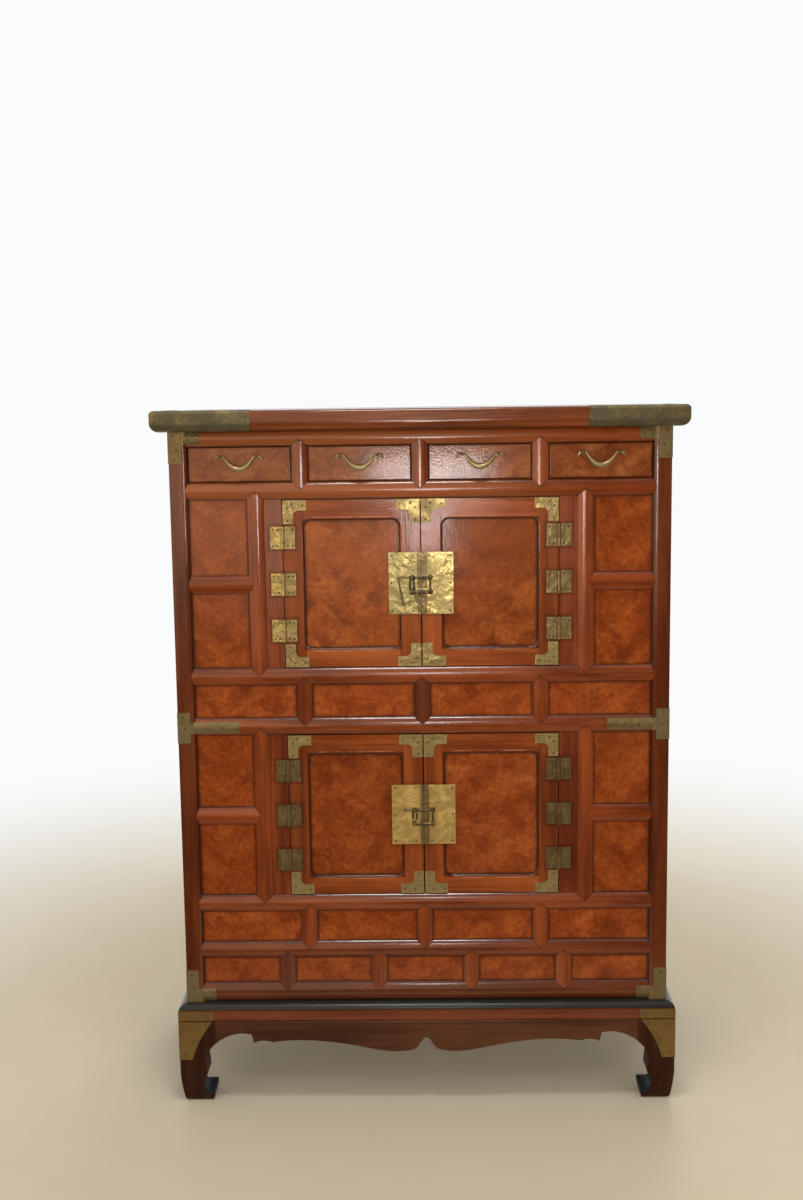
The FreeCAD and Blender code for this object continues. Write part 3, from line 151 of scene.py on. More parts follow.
class Socket:
    """A shader output that Python arithmetic turns into Math nodes."""

    def __init__(self, finish, output):
        self.finish = finish
        self.output = output

    def __add__(self, other):
        return self.finish.math("ADD", self, other)

    def __sub__(self, other):
        return self.finish.math("SUBTRACT", self, other)

    def __rsub__(self, other):
        return self.finish.math("SUBTRACT", other, self)

    def __mul__(self, other):
        return self.finish.math("MULTIPLY", self, other)

    def __truediv__(self, other):
        return self.finish.math("DIVIDE", self, other)

    def __gt__(self, other):
        return self.finish.math("GREATER_THAN", self, other)

    def __lt__(self, other):
        return self.finish.math("LESS_THAN", self, other)

    def __abs__(self):
        return self.finish.math("ABSOLUTE", self)

    __radd__ = __add__
    __rmul__ = __mul__


class Finish:
    """A node tree written as expressions: a new material, or a tree that is given."""

    def __init__(self, name, tree=None):
        if tree is None:
            self.material = bpy.data.materials.new(name)
            self.material.use_nodes = True
            tree = self.material.node_tree
        self.tree = tree
        self.tree.nodes.clear()

    def add(self, kind, settings=None, inputs=(), output=0):
        """Adds a node: its settings first, then the values or links of its sockets."""
        node = self.tree.nodes.new(kind)
        for name, value in (settings or {}).items():
            if name == "stops":
                self.set_stops(node.color_ramp, value)
            else:
                setattr(node, name, value)
        pairs = inputs.items() if isinstance(inputs, dict) else enumerate(inputs)
        for key, value in pairs:
            if isinstance(value, Socket):
                self.tree.links.new(value.output, node.inputs[key])
            else:
                node.inputs[key].default_value = value
        return Socket(self, node.outputs[output]) if node.outputs else node

    @staticmethod
    def set_stops(ramp, stops):
        while len(ramp.elements) < len(stops):
            ramp.elements.new(1.0)
        for element, (place, colour) in zip(ramp.elements, stops):
            element.position = place
            element.color = (*colour, 1.0)

    def math(self, operation, *values):
        return self.add("ShaderNodeMath", {"operation": operation}, values)

    def least(self, *values):
        return reduce(lambda a, b: self.math("MINIMUM", a, b), values)

    def most(self, *values):
        return reduce(lambda a, b: self.math("MAXIMUM", a, b), values)

    def fade(self, value, start, end):
        """0 at start, 1 at end, smooth between."""
        return self.add("ShaderNodeMapRange", {"interpolation_type": "SMOOTHSTEP"},
                        {"Value": value, "From Min": start, "From Max": end})

    def split(self, vector):
        return [self.add("ShaderNodeSeparateXYZ", inputs=[vector], output=axis) for axis in "XYZ"]

    def place(self):
        """The point's X, Y and Z on the piece, in metres."""
        return self.split(self.add("ShaderNodeTexCoord", output="Object"))

    def vector(self, x, y, z):
        return self.add("ShaderNodeCombineXYZ", inputs=[x, y, z])

    def cloud(self, vector, scale=1.0, detail=4.0, roughness=0.5, distortion=0.0):
        """Noise with about scale patches for each unit of the vector."""
        return self.add("ShaderNodeTexNoise", inputs={
            "Vector": vector, "Scale": scale, "Detail": detail, "Roughness": roughness,
            "Distortion": distortion})

    def ramp(self, value, stops):
        return self.add("ShaderNodeValToRGB", {"stops": stops}, [value])

    def mix(self, share, first, second):
        """The first colour, with a share of the second."""
        first, second = [c if isinstance(c, Socket) else (*c, 1.0) for c in (first, second)]
        return self.add("ShaderNodeMix", {"data_type": "RGBA"}, {0: share, 6: first, 7: second}, output=2)

    def bump(self, height, strength, distance):
        return self.add("ShaderNodeBump", inputs={
            "Height": height, "Strength": strength, "Distance": distance})

    def surface(self, colour, roughness, normal, **constants):
        """Ends the material in a Principled surface."""
        inputs = {"Base Color": colour, "Roughness": roughness, "Normal": normal}
        inputs.update({name.replace("_", " "): value for name, value in constants.items()})
        shader = self.add("ShaderNodeBsdfPrincipled", inputs=inputs)
        self.add("ShaderNodeOutputMaterial", inputs=[shader])
        return self.material


def inset(finish, value, spans):
    """How far inside the nearest span the value lies: zero at the span's ends, negative outside."""
    return finish.most(*[(high - low) / 2 - abs(value - (low + high) / 2) for low, high in spans])


def axis_x(finish, x, y, z):
    return x


def axis_y(finish, x, y, z):
    return y


def axis_z(finish, x, y, z):
    return z


def shades(colour, stops):
    """Ramp stops about a middle colour."""
    return [(place, tuple(value * share for value, share in zip(colour, shares))) for place, shares in stops]


def coated(finish, colour, coats, x, y, z):
    """Lays coats over a colour; each is a function that gives the coat's share and its own colour."""
    for coat in coats:
        share, tint = coat(finish, x, y, z)
        colour = finish.mix(share, colour, tint)
    return colour


def hang(names, material):
    """Puts a finish on CAD nodes."""
    for name in names:
        nodes[name].material_slots[0].material = material


# Lacquered frame wood: long streaks along the grain under a glossy finish, with shade painted into the
# joints, hollows and mouldings, and a painted sheen and highlights

POST_RED = (0.096, 0.0175, 0.0030)
RAIL_RED = (0.155, 0.0295, 0.0050)
MUNTIN_RED = (0.184, 0.0345, 0.0052)
SHORT_RAIL_RED = (0.165, 0.0300, 0.0050)
STRIP_RED = (0.148, 0.0295, 0.0080)
DOOR_RED = (0.198, 0.0430, 0.0090)
SLAB_RED = (0.158, 0.0380, 0.0095)
STREAK_STOPS = [(0.0, (0.48, 0.42, 0.42)), (0.42, (0.88, 0.85, 0.82)), (0.62, (1.13, 1.15, 1.15)),
                (1.0, (1.48, 1.58, 1.60))]
GRIME_AND_SHADE = (0.022, 0.006, 0.003)
OLD_MUNTIN = (0.045, 0.011, 0.007)
FOOT_BROWN = (0.060, 0.0165, 0.0060)
SHEEN_RED = (0.285, 0.0880, 0.0300)
SHEEN_MAUVE = (0.215, 0.0900, 0.0620)
RAIL_HIGHLIGHT = (0.25, 0.070, 0.024)
RUBBED_SLAB = (0.26, 0.085, 0.028)
BEAD_HIGHLIGHT = (0.400, 0.1900, 0.1150)

LACQUER_GLOSS = 0.55
ROUNDED_GLOSS = 0.90
DOOR_GLOSS = 0.45
SIDE_RAIL_GLOSS = 0.30
UNEVEN_RIPPLES = 0.9

JOINT_SHADE = 0.0007
JOINT_SHADE_SHARE = 0.38
HOLLOW_DEPTH = 0.010
HOLLOW_FADE = 0.006
PLATE_BAND = 0.0045
FACE_MARGIN = 0.001
MUNTIN_REACH = 0.02
BEAD = 0.0052
BEAD_EDGE = (0.0004, 0.0012)
BEAD_ENDS = (0.008, 0.022)
GROOVE = (0.0030, 0.0052)
HINGE_SIDE_STILE = (0.190, 0.196)
HIGHLIGHT_BAND = (0.003, 0.011)
SHEEN_ACROSS = (0.32, -0.04)
SHEEN_UP = (0.74, 1.0)
DARK_FOOT = (0.20, 0.33)


def lacquered_wood(name, tone, along, across, depth, coats=(), gloss=0.08, ridges=0.25,
                   shine=LACQUER_GLOSS):
    """Streaky wood whose grain runs along the first of three coordinates."""
    finish = Finish(name)
    x, y, z = finish.place()
    run, side, deep = [axis(finish, x, y, z) for axis in (along, across, depth)]
    streaks = finish.cloud(finish.vector(run * 3.2, side * 70.0, deep * 70.0), 1.0, 5.0, 0.62, 0.4)
    patches = finish.cloud(finish.vector(run * 4.0, side * 11.0, deep * 11.0), 1.0, 3.0, 0.5)
    pores = finish.cloud(finish.vector(run * 38.0, side * 900.0, deep * 900.0), 1.0, 2.0, 0.6)
    ripples = finish.cloud(finish.vector(run * 60.0, side * 330.0, deep * 330.0), 1.0, 2.0, 0.5)
    streaked = finish.fade(streaks * 0.46 + patches * 0.42 + pores * 0.14, 0.33, 0.70)
    colour = coated(finish, finish.ramp(streaked, shades(tone, STREAK_STOPS)), coats, x, y, z)
    waves = finish.cloud(finish.vector(x, y, z), 46.0, 3.0, 0.55)
    height = streaks * 0.4 + pores * 0.1 + waves + ripples * ridges
    roughness = finish.fade(patches, 0.2, 0.8) * 0.10 + gloss + pores * 0.06
    return finish.surface(colour, roughness, finish.bump(height, 0.22, 0.0009), Specular_IOR_Level=shine)


def painted_hollow_shade(finish, x, y, z):
    """Painted shade: darkens where the rounded faces turn in towards their neighbours, standing for the shade
    that falls there.
    """
    normal = finish.add("ShaderNodeTexCoord", output="Normal")
    facing = finish.add("ShaderNodeSeparateXYZ", inputs=[normal], output="Y")
    spread = finish.cloud(finish.vector(x, y, z), 24.0, 3.0, 0.6)
    near_front = 1 - finish.fade(y, FRONT + HOLLOW_DEPTH, FRONT + HOLLOW_DEPTH + HOLLOW_FADE)
    return finish.fade(facing + spread * 0.16, -0.78, -0.46) * near_front * 0.78, GRIME_AND_SHADE


def painted_joint_shade(finish, gap, x, y, z):
    """Painted shade in a joint: a dark line where a face lies within a small gap in front of the neighbour's
    face.
    """
    spread = finish.cloud(finish.vector(x, y, z), 90.0, 3.0, 0.6)
    return (1 - finish.fade(gap - spread * 0.0003, 0.0, JOINT_SHADE)) * JOINT_SHADE_SHARE, GRIME_AND_SHADE


def rounded_face(nearest, face, curve):
    """The depth of a rounded face, at a distance from its middle line."""
    return nearest * nearest / (2 * curve) + face


def corner_face(finish, x):
    """The depth of the corner posts' faces, which round off towards the rails."""
    rounding = finish.most(POST_INNER + POST_ROUND - abs(x), 0.0)
    return rounded_face(rounding, FRONT, POST_ROUND)


def upright_joints(finish, x, y, z):
    """Painted shade on the pointed ends of the uprights, where they meet the rails."""
    nearest = finish.least(*[abs(z - centre) for centre in RAIL_CENTRES])
    return painted_joint_shade(finish, rounded_face(nearest, RAIL_FACE, RAIL_CURVE) - y, x, y, z)


def post_joints(finish, x, y, z):
    """Painted shade on the ends of the level pieces, where they meet the posts beside the doors and at the
    corners.
    """
    beside_door = rounded_face(abs(x) - DOOR_POST, MUNTIN_FACE, MUNTIN_CURVE)
    return painted_joint_shade(finish, finish.least(corner_face(finish, x), beside_door) - y, x, y, z)


def rail_joints(finish, x, y, z):
    """Painted shade on the long rails round the pointed ends of the uprights above and below."""
    rails = RAIL_CENTRES

    def outside(*spans):
        return inset(finish, z, spans) < 0.0

    plinth = finish.math("PINGPONG", abs(x) + PLINTH_PITCH / 2, PLINTH_PITCH / 2) + outside(rails[0:2])
    rows = finish.math("PINGPONG", abs(x), ROW_PITCH / 2) + outside(rails[1:3], rails[3:5], rails[5:7])
    posts = abs(abs(x) - DOOR_POST) + outside(rails[2:4], rails[4:6])
    uprights = rounded_face(finish.least(plinth, rows, posts), MUNTIN_FACE, MUNTIN_CURVE)
    return painted_joint_shade(finish, finish.least(uprights, corner_face(finish, x)) - y, x, y, z)


def old_muntins(finish, x, y, z):
    """Two muntins are darker than the rest: the middle row's central one, and one low on the left."""
    in_middle_row = inset(finish, z, [RAIL_CENTRES[3:5]]) > 0.0
    central = (abs(x) < MUNTIN_REACH) * in_middle_row
    low_left = (abs(x + 1.5 * PLINTH_PITCH) < MUNTIN_REACH) * (z < PLINTH_RAIL)
    return finish.most(central, low_left) * 0.62, OLD_MUNTIN


def from_door_middle(finish, z):
    """How far above or below the middle of its door a point lies."""
    return finish.least(*[abs(z - middle) for middle in DOOR_MIDDLES])


def from_hinges(finish, x, z):
    """How far outside the nearest hinge a point of the front lies: negative on the hinge."""
    rise = from_door_middle(finish, z)
    return finish.most(abs(abs(x) - HINGE_LINE) - HINGE_HALF_WIDTH,
                       finish.least(rise, abs(rise - HINGE_STEP)) - HINGE_HALF_HEIGHT)


def round_plates(finish, x, y, z):
    """Darkens the wood in a band round the hinges and the lock plates, on the front."""
    from_lock = finish.most(abs(x) - LOCK_HALF_WIDTH, from_door_middle(finish, z) - LOCK_HALF_HEIGHT)
    nearest = finish.least(from_hinges(finish, x, z), from_lock)
    spread = finish.cloud(finish.vector(x, y, z), 60.0, 3.0, 0.6)
    on_face = y < DOOR_FACE + FACE_MARGIN
    return (1 - finish.fade(nearest - spread * 0.004, -0.002, PLATE_BAND)) * on_face * 0.38, GRIME_AND_SHADE


def rails_painted_highlight(finish, x, y, z):
    """A painted highlight: the top rail, the middle rail and the two sills are painted paler in patches along
    the middle of their faces.
    """
    nearest = finish.least(*[abs(z - centre) for centre in HIGHLIGHTED_RAILS])
    patchy = finish.cloud(finish.vector(x * 14.0, y, z * 160.0), 1.0, 4.0, 0.6)
    return (1 - finish.fade(nearest, *HIGHLIGHT_BAND)) * finish.fade(patchy, 0.36, 0.70) * 0.4, RAIL_HIGHLIGHT


def painted_sheen_upper_left(finish, x, y, z):
    """A painted sheen: the upper left of the front is painted paler, standing for a reflection there."""
    return finish.fade(x, *SHEEN_ACROSS) * finish.fade(z, *SHEEN_UP) * 0.5, SHEEN_RED


# A painted sheen in a mauve tint over the hinge strips at the upper left.
def painted_sheen_strips(finish, x, y, z):
    return painted_sheen_upper_left(finish, x, y, z)[0] * 0.9, SHEEN_MAUVE


def darker_foot(finish, x, y, z):
    """The two lowest rails are darker than the rest."""
    return (1 - finish.fade(z, *DARK_FOOT)) * 0.62, FOOT_BROWN


def slab_wear(finish, x, y, z):
    """The slab's top is rubbed paler in patches."""
    rubbed = finish.cloud(finish.vector(x * 3.0, y * 7.0, z), 1.0, 4.0, 0.6)
    return finish.fade(rubbed, 0.42, 0.70) * (z > SLAB_TOP - FACE_MARGIN) * 0.5, RUBBED_SLAB


def door_finish(door):
    """A door frame's grain runs up its stiles and along its rails."""
    low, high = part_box(door + "_frame")
    panel_low, panel_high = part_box(door + "_panel")
    middle = (panel_low + panel_high) / 2
    half_width = (panel_high.x - panel_low.x) / 2 - PANEL_TONGUE
    half_height = (panel_high.z - panel_low.z) / 2 - PANEL_TONGUE

    def in_rail(x):
        return (x > low.x + DOOR_STILE) * (x < high.x - DOOR_STILE)

    def along(finish, x, y, z):
        rail = in_rail(x)
        return x * rail + z * (1 - rail)

    def across(finish, x, y, z):
        rail = in_rail(x)
        return z * rail + x * (1 - rail)

    def painted_groove_shade(finish, x, y, z):
        """Painted shade in the moulding round the panel."""
        outside = finish.most(abs(x - middle.x) - half_width, abs(z - middle.z) - half_height)
        uneven = finish.cloud(finish.vector(x, y, z), 70.0, 3.0, 0.6)
        return (1 - finish.fade(outside + uneven * 0.002, *GROOVE)) * 0.72, GRIME_AND_SHADE

    def bead_painted_highlight(finish, x, y, z):
        """A painted highlight along the moulding's outer edge above and below the panel."""
        from_edge = abs(abs(z - middle.z) - half_height - BEAD)
        on_edge = 1 - finish.fade(from_edge, *BEAD_EDGE)
        along_panel = finish.fade(half_width - abs(x - middle.x), *BEAD_ENDS)
        patchy = finish.cloud(finish.vector(x * 40.0, y, z * 40.0), 1.0, 3.0, 0.6)
        return on_edge * along_panel * finish.fade(patchy, 0.35, 0.6) * 0.6, BEAD_HIGHLIGHT

    def hinge_side(finish, x, y, z):
        """The stiles beside the hinges are darker."""
        return finish.fade(abs(x), *HINGE_SIDE_STILE) * 0.30, GRIME_AND_SHADE

    return lacquered_wood(door + "_lacquer", DOOR_RED, along, across, axis_y,
                          [painted_hollow_shade, hinge_side, round_plates, painted_groove_shade, bead_painted_highlight],
                          gloss=0.07, ridges=UNEVEN_RIPPLES, shine=DOOR_GLOSS)


hang(["front_rails"], lacquered_wood("rail_lacquer", RAIL_RED, axis_x, axis_z, axis_y,
                                     [painted_sheen_upper_left, rails_painted_highlight, darker_foot, painted_hollow_shade, rail_joints]))
hang(["short_rails"], lacquered_wood("short_rail_lacquer", SHORT_RAIL_RED, axis_x, axis_z, axis_y,
                                     [painted_hollow_shade, post_joints]))
hang(["corner_posts"], lacquered_wood("post_lacquer", POST_RED, axis_z, axis_x, axis_y, [painted_hollow_shade],
                                      shine=ROUNDED_GLOSS))
hang(["row_muntins", "door_side_posts"],
     lacquered_wood("muntin_lacquer", MUNTIN_RED, axis_z, axis_x, axis_y,
                    [painted_hollow_shade, upright_joints, old_muntins], gloss=0.11, shine=ROUNDED_GLOSS))
hang(["hinge_strips"], lacquered_wood("strip_lacquer", STRIP_RED, axis_z, axis_x, axis_y,
                                      [painted_sheen_strips, round_plates],
                                      gloss=0.10, ridges=UNEVEN_RIPPLES, shine=DOOR_GLOSS))
hang(["side_rails"], lacquered_wood("side_rail_lacquer", RAIL_RED, axis_y, axis_z, axis_x,
                                    shine=SIDE_RAIL_GLOSS))
hang(["top_slab"], lacquered_wood("slab_lacquer", SLAB_RED, axis_x, axis_z, axis_y, [slab_wear]))
for door in DOORS:
    hang([door + "_frame"], door_finish(door))


# The stand: a red fascia under a blackened ledge, darker aprons and legs

STAND_RED = (0.112, 0.0260, 0.0085)
APRON_BROWN = (0.068, 0.0220, 0.0080)
LEG_BROWN = (0.036, 0.0110, 0.0045)
LEDGE_BLACK = (0.018, 0.017, 0.013)
TOE_BLACK = (0.010, 0.014, 0.017)
SCUFF = (0.13, 0.075, 0.045)
SCUFF_HEIGHT = 0.035
LEDGE_FADE = 0.0008
ANKLE_FADE = 0.002


def ledge_black(finish, x, y, z):
    return finish.fade(z, LEDGE, LEDGE + LEDGE_FADE), LEDGE_BLACK


def toe_black(finish, x, y, z):
    """The hollow of each scrolled toe is nearly black: partly its own dark colour, partly painted shade."""
    inward = finish.most(STAND_HALF - abs(x), finish.least(y - STAND_FRONT, STAND_BACK - y))
    inside = finish.fade(inset(finish, z, [(SOLE_EDGE, TOE_HEIGHT)]), -0.003, 0.0)
    return finish.fade(inward, ANKLE, ANKLE + ANKLE_FADE) * inside * 0.9, TOE_BLACK


def scuffed_soles(finish, x, y, z):
    """The varnish is kicked away in scratches near the floor."""
    scratches = finish.cloud(finish.vector(x * 60.0, y * 60.0, z * 240.0), 1.0, 4.0, 0.65)
    return finish.fade(scratches, 0.60, 0.72) * (1 - finish.fade(z, 0.0, SCUFF_HEIGHT)) * 0.6, SCUFF


hang(["stand_frame"], lacquered_wood("stand_lacquer", STAND_RED, axis_x, axis_z, axis_y, [ledge_black],
                                     gloss=0.16, shine=0.30))
hang(["stand_aprons"], lacquered_wood("apron_lacquer", APRON_BROWN, axis_x, axis_z, axis_y,
                                      gloss=0.24, shine=0.22))
hang(["stand_legs"], lacquered_wood("leg_lacquer", LEG_BROWN, axis_z, axis_x, axis_y,
                                    [toe_black, scuffed_soles], gloss=0.34, shine=0.10))


# Burl veneer: a clouded figure that leans out from a middle line, with fine fibres and smoky patches

BURL_RED = (0.218, 0.0430, 0.0066)
ROW_BURL = (0.242, 0.0490, 0.0085)
DRAWER_BURL = (0.215, 0.0570, 0.0130)
UPPER_LEFT_BURL = (0.248, 0.0580, 0.0112)
UPPER_RIGHT_BURL = (0.214, 0.0490, 0.0090)
LOWER_LEFT_BURL = (0.205, 0.0420, 0.0072)
LOWER_RIGHT_BURL = (0.235, 0.0510, 0.0095)
BURL_STOPS = [(0.0, (0.54, 0.42, 0.45)), (0.30, (0.77, 0.69, 0.70)), (0.55, (1.0, 1.0, 1.0)),
              (0.78, (1.22, 1.36, 1.45)), (1.0, (1.55, 1.95, 2.40))]
BURL_SMOKE = (0.060, 0.011, 0.003)
SHEEN_BURL = (0.300, 0.1050, 0.0440)
DARKER_SHEET = (0.16, 0.034, 0.008)
EDGE_SHADE = (0.026, 0.007, 0.003)
UPPER_DOOR_GLOSS = 0.34
SIDE_BURL_GLOSS = 0.25
UPPER_SMOKED = 0.80
LOWER_SMOKED = 0.42
UPPER_SHEET_JOINT = 0.905
SHEET_JOINT_WIDTH = (0.0002, 0.0011)
SHADED_EDGE = (0.0012, 0.0070)
ROW_OFFSET = 0.03
SINGLE_OFFSET = 0.02


def burl_veneer(name, layout, lean=0.9, coats=(), red=BURL_RED, smoked=0.50, shine=LACQUER_GLOSS):
    """layout(finish, x, y, z) gives across, up, a number for the sheet, and the distance to its edge."""
    finish = Finish(name)
    x, y, z = finish.place()
    point = finish.vector(x, y, z)
    across, up, sheet, edge = layout(finish, x, y, z)
    drift = finish.cloud(finish.vector(across, up, sheet * 0.37), 24.0, 2.0, 0.5)
    swirl = finish.cloud(finish.vector(across, up, sheet * 0.37 + 4.0), 60.0, 2.0, 0.5)
    mottle = finish.cloud(finish.vector(across, up, sheet * 0.37 + 7.0), 130.0, 3.0, 0.55)
    flame = up - abs(across + (drift - 0.5) * 0.05) * lean + drift * 0.04
    figure = finish.cloud(finish.vector(across * 22.0 + swirl * 0.9, flame * 28.0, sheet * 3.1),
                          1.0, 3.0, 0.5)
    smoke = finish.cloud(finish.vector(across * 34.0 + swirl * 1.0, flame * 30.0, sheet * 3.1 + 9.0),
                         1.0, 3.0, 0.5)
    fibres = finish.cloud(finish.vector(across * 110.0 + swirl * 2.0, flame * 480.0 + drift * 8.0,
                                        sheet * 2.3), 1.0, 3.0, 0.6)
    tone = finish.fade(figure * 0.48 + fibres * 0.20 + mottle * 0.32, 0.28, 0.75)
    smoky = finish.fade(smoke + (mottle - 0.5) * 0.12, 0.48, 0.80)
    colour = finish.mix(smoky * smoked, finish.ramp(tone, shades(red, BURL_STOPS)), BURL_SMOKE)
    colour = coated(finish, colour, coats, x, y, z)
    # Painted shade along each panel's edges, next to the frame.
    edge_wobble = finish.cloud(point, 60.0, 3.0, 0.6)
    in_edge = 1 - finish.fade(edge + edge_wobble * 0.004, *SHADED_EDGE)
    colour = finish.mix(in_edge * 0.64, colour, EDGE_SHADE)
    brushed = finish.cloud(finish.vector(x * 420.0, y * 420.0, z * 30.0), 1.0, 2.0, 0.6)
    ripples = finish.cloud(point, 280.0, 2.0, 0.5)
    height = finish.cloud(point, 55.0, 3.0, 0.55) + brushed * 0.12 + ripples * 1.1
    roughness = fibres * 0.06 + drift * 0.05 + 0.07
    return finish.surface(colour, roughness, finish.bump(height, 0.16, 0.0008), Specular_IOR_Level=shine)


def sheet_joint(finish, x, y, z):
    """A glued joint between two sheets, with the upper sheet a little darker."""
    seam = 1 - finish.fade(abs(z - UPPER_SHEET_JOINT), *SHEET_JOINT_WIDTH)
    return finish.most((z > UPPER_SHEET_JOINT) * 0.35, seam * 0.55), DARKER_SHEET


# A painted sheen over the burl panels at the upper left, weaker than on the frame.
def painted_sheen_burl(finish, x, y, z):
    return painted_sheen_upper_left(finish, x, y, z)[0] * 0.35, SHEEN_BURL


def row_layout(finish, x, y, z):
    """Rows of equal panels: five in the lowest, four in the two others."""
    in_plinth = z < PLINTH_RAIL
    pitch = in_plinth * PLINTH_PITCH + (1 - in_plinth) * ROW_PITCH
    counted = (x + ROWS_WIDTH / 2) / pitch
    number = finish.math("FLOOR", counted)
    across = (counted - number - 0.5) * pitch
    sheet = number + (1 - in_plinth) * 7.0 + (z > MIDDLE_RAIL) * 11.0
    edge = finish.least((pitch - MUNTIN) / 2 - abs(across),
                        inset(finish, z, [PLINTH_ROW, BASE_ROW, MIDDLE_ROW]))
    return across + ROW_OFFSET, z, sheet, edge


def column_layout(finish, x, y, z):
    """The side columns: each panel is matched about its own middle."""
    low, high = COLUMN_PANELS_X
    across = abs(x) - (low + high) / 2
    sheet = (x > 0) * 5.0 + reduce(lambda a, b: a + b, [z > span[0] for span in COLUMN_PANELS_Z[1:]])
    edge = finish.least((high - low) / 2 - abs(across), inset(finish, z, COLUMN_PANELS_Z))
    return across, z, sheet, edge


def side_layout(finish, x, y, z):
    """The cabinet's two sides, with three panels each."""
    low, high = SIDE_PANELS_Y
    across = y - (low + high) / 2
    sheet = (x > 0) * 3.0 + (z > MIDDLE_RAIL) + (z > DRAWER_RAIL)
    edge = finish.least((high - low) / 2 - abs(across), inset(finish, z, SIDE_PANELS_Z))
    return across, z, sheet, edge


def single_layout(node, sheet, tongue):
    """One panel on its own."""
    low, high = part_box(node)
    middle = (low + high) / 2
    half_width = (high.x - low.x) / 2 - tongue
    half_height = (high.z - low.z) / 2 - tongue

    def layout(finish, x, y, z):
        across, up = x - middle.x, z - middle.z
        edge = finish.least(half_width - abs(across), half_height - abs(up))
        return across + SINGLE_OFFSET, up, sheet, edge

    return layout


def door_panel(door, sheet, red, smoked, shine, coats=()):
    """Veneers a door's panel; each sheet number gives a figure of its own."""
    node = door + "_panel"
    hang([node], burl_veneer(node + "_burl", single_layout(node, sheet, PANEL_TONGUE), 0.3,
                             [painted_sheen_burl, *coats], red, smoked, shine))


hang(["row_panels"], burl_veneer("row_burl", row_layout, lean=0.3, red=ROW_BURL))
hang(["side_column_panels"], burl_veneer("column_burl", column_layout, 0.8, [painted_sheen_burl]))
hang(["side_panels"], burl_veneer("side_burl", side_layout, lean=0.7, shine=SIDE_BURL_GLOSS))
door_panel("upper_left_door", 20.0, UPPER_LEFT_BURL, smoked=UPPER_SMOKED, shine=UPPER_DOOR_GLOSS)
door_panel("upper_right_door", 23.0, UPPER_RIGHT_BURL, smoked=UPPER_SMOKED, shine=UPPER_DOOR_GLOSS,
           coats=[sheet_joint])
door_panel("lower_left_door", 26.0, LOWER_LEFT_BURL, smoked=LOWER_SMOKED, shine=LACQUER_GLOSS)
door_panel("lower_right_door", 29.0, LOWER_RIGHT_BURL, smoked=LOWER_SMOKED, shine=LACQUER_GLOSS)
for number, drawer in enumerate(DRAWERS):
    node = drawer + "_front"
    hang([node], burl_veneer(node + "_burl", single_layout(node, 45.0 + 5 * number, tongue=0.0), lean=0.5,
                             red=DRAWER_BURL))


# Plain boards inside and at the back

BOARD_STOPS = [(0.0, (0.13, 0.07, 0.033)), (0.5, (0.25, 0.14, 0.066)), (1.0, (0.37, 0.225, 0.115))]
BOARD_STAIN = (0.10, 0.055, 0.028)


def plain_board(name, along, across, depth):
    """Dull sawn wood whose grain runs along the first of three coordinates."""
    finish = Finish(name)
    x, y, z = finish.place()
    run, side, deep = [axis(finish, x, y, z) for axis in (along, across, depth)]
    rings = finish.cloud(finish.vector(run * 1.6, side * 22.0, deep * 22.0), 1.0, 5.0, 0.6, 1.2)
    fibres = finish.cloud(finish.vector(run * 12.0, side * 320.0, deep * 320.0), 1.0, 3.0, 0.6)
    stain = finish.cloud(finish.vector(x, y, z), 5.0, 4.0, 0.6)
    colour = finish.ramp(finish.fade(rings * 0.6 + fibres * 0.4, 0.3, 0.72), BOARD_STOPS)
    colour = finish.mix(finish.fade(stain, 0.52, 0.78) * 0.5, colour, BOARD_STAIN)
    return finish.surface(colour, fibres * 0.2 + 0.55, finish.bump(rings * 0.6 + fibres, 0.3, 0.0006),
                          Specular_IOR_Level=0.25)


hang(["back_panels"], plain_board("back_board", axis_z, axis_x, axis_y))
hang(["back_rails", "door_stops", "bottom_board", "middle_floor", "drawer_deck"],
     plain_board("shelf_board", axis_x, axis_y, axis_z))
hang(["drawer_dividers"] + [drawer + "_box" for drawer in DRAWERS],
     plain_board("drawer_board", axis_y, axis_x, axis_z))


# Strips of old paper pasted inside over the seams of the back boards

PAPER_HALF_WIDTH = 0.009
PAPER_THICKNESS = 0.0003
PAPER_STOPS = [(0.0, (0.26, 0.175, 0.095)), (1.0, (0.46, 0.36, 0.225))]
BOX_FACES = [(0, 1, 3, 2), (4, 6, 7, 5), (0, 4, 5, 1), (2, 3, 7, 6), (0, 2, 6, 4), (1, 5, 7, 3)]


def old_paper():
    """Yellowed paper with long fibres and stains."""
    finish = Finish("old_paper")
    x, y, z = finish.place()
    fibres = finish.cloud(finish.vector(x * 500.0, y * 500.0, z * 120.0), 1.0, 3.0, 0.6)
    stain = finish.cloud(finish.vector(x, y, z), 26.0, 4.0, 0.6)
    colour = finish.ramp(finish.fade(stain * 0.7 + fibres * 0.3, 0.3, 0.7), PAPER_STOPS)
    return finish.surface(colour, fibres * 0.1 + 0.8, finish.bump(fibres + stain, 0.3, 0.0004),
                          Specular_IOR_Level=0.2)


def paste_papers():
    """One strip over each seam, in the lower and in the upper compartment."""
    low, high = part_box("back_panels")
    step = (high.x - low.x) / BACK_BOARDS
    corners, faces = [], []
    for seam in range(1, BACK_BOARDS):
        middle = low.x + seam * step
        for bottom, top in SIDE_PANELS_Z[:2]:
            first = len(corners)
            corners += [(x, y, z) for x in (middle - PAPER_HALF_WIDTH, middle + PAPER_HALF_WIDTH)
                        for y in (low.y - PAPER_THICKNESS, low.y) for z in (bottom, top)]
            faces += [tuple(first + corner for corner in face) for face in BOX_FACES]
    mesh = bpy.data.meshes.new("seam_papers")
    mesh.from_pydata(corners, [], faces)
    mesh.materials.append(old_paper())
    papers = bpy.data.objects.new("seam_papers", mesh)
    bpy.context.scene.collection.objects.link(papers)
    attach(papers, "carcass")


paste_papers()


# Aged brass: a yellow sheet under brown and olive tarnish, dented by hand

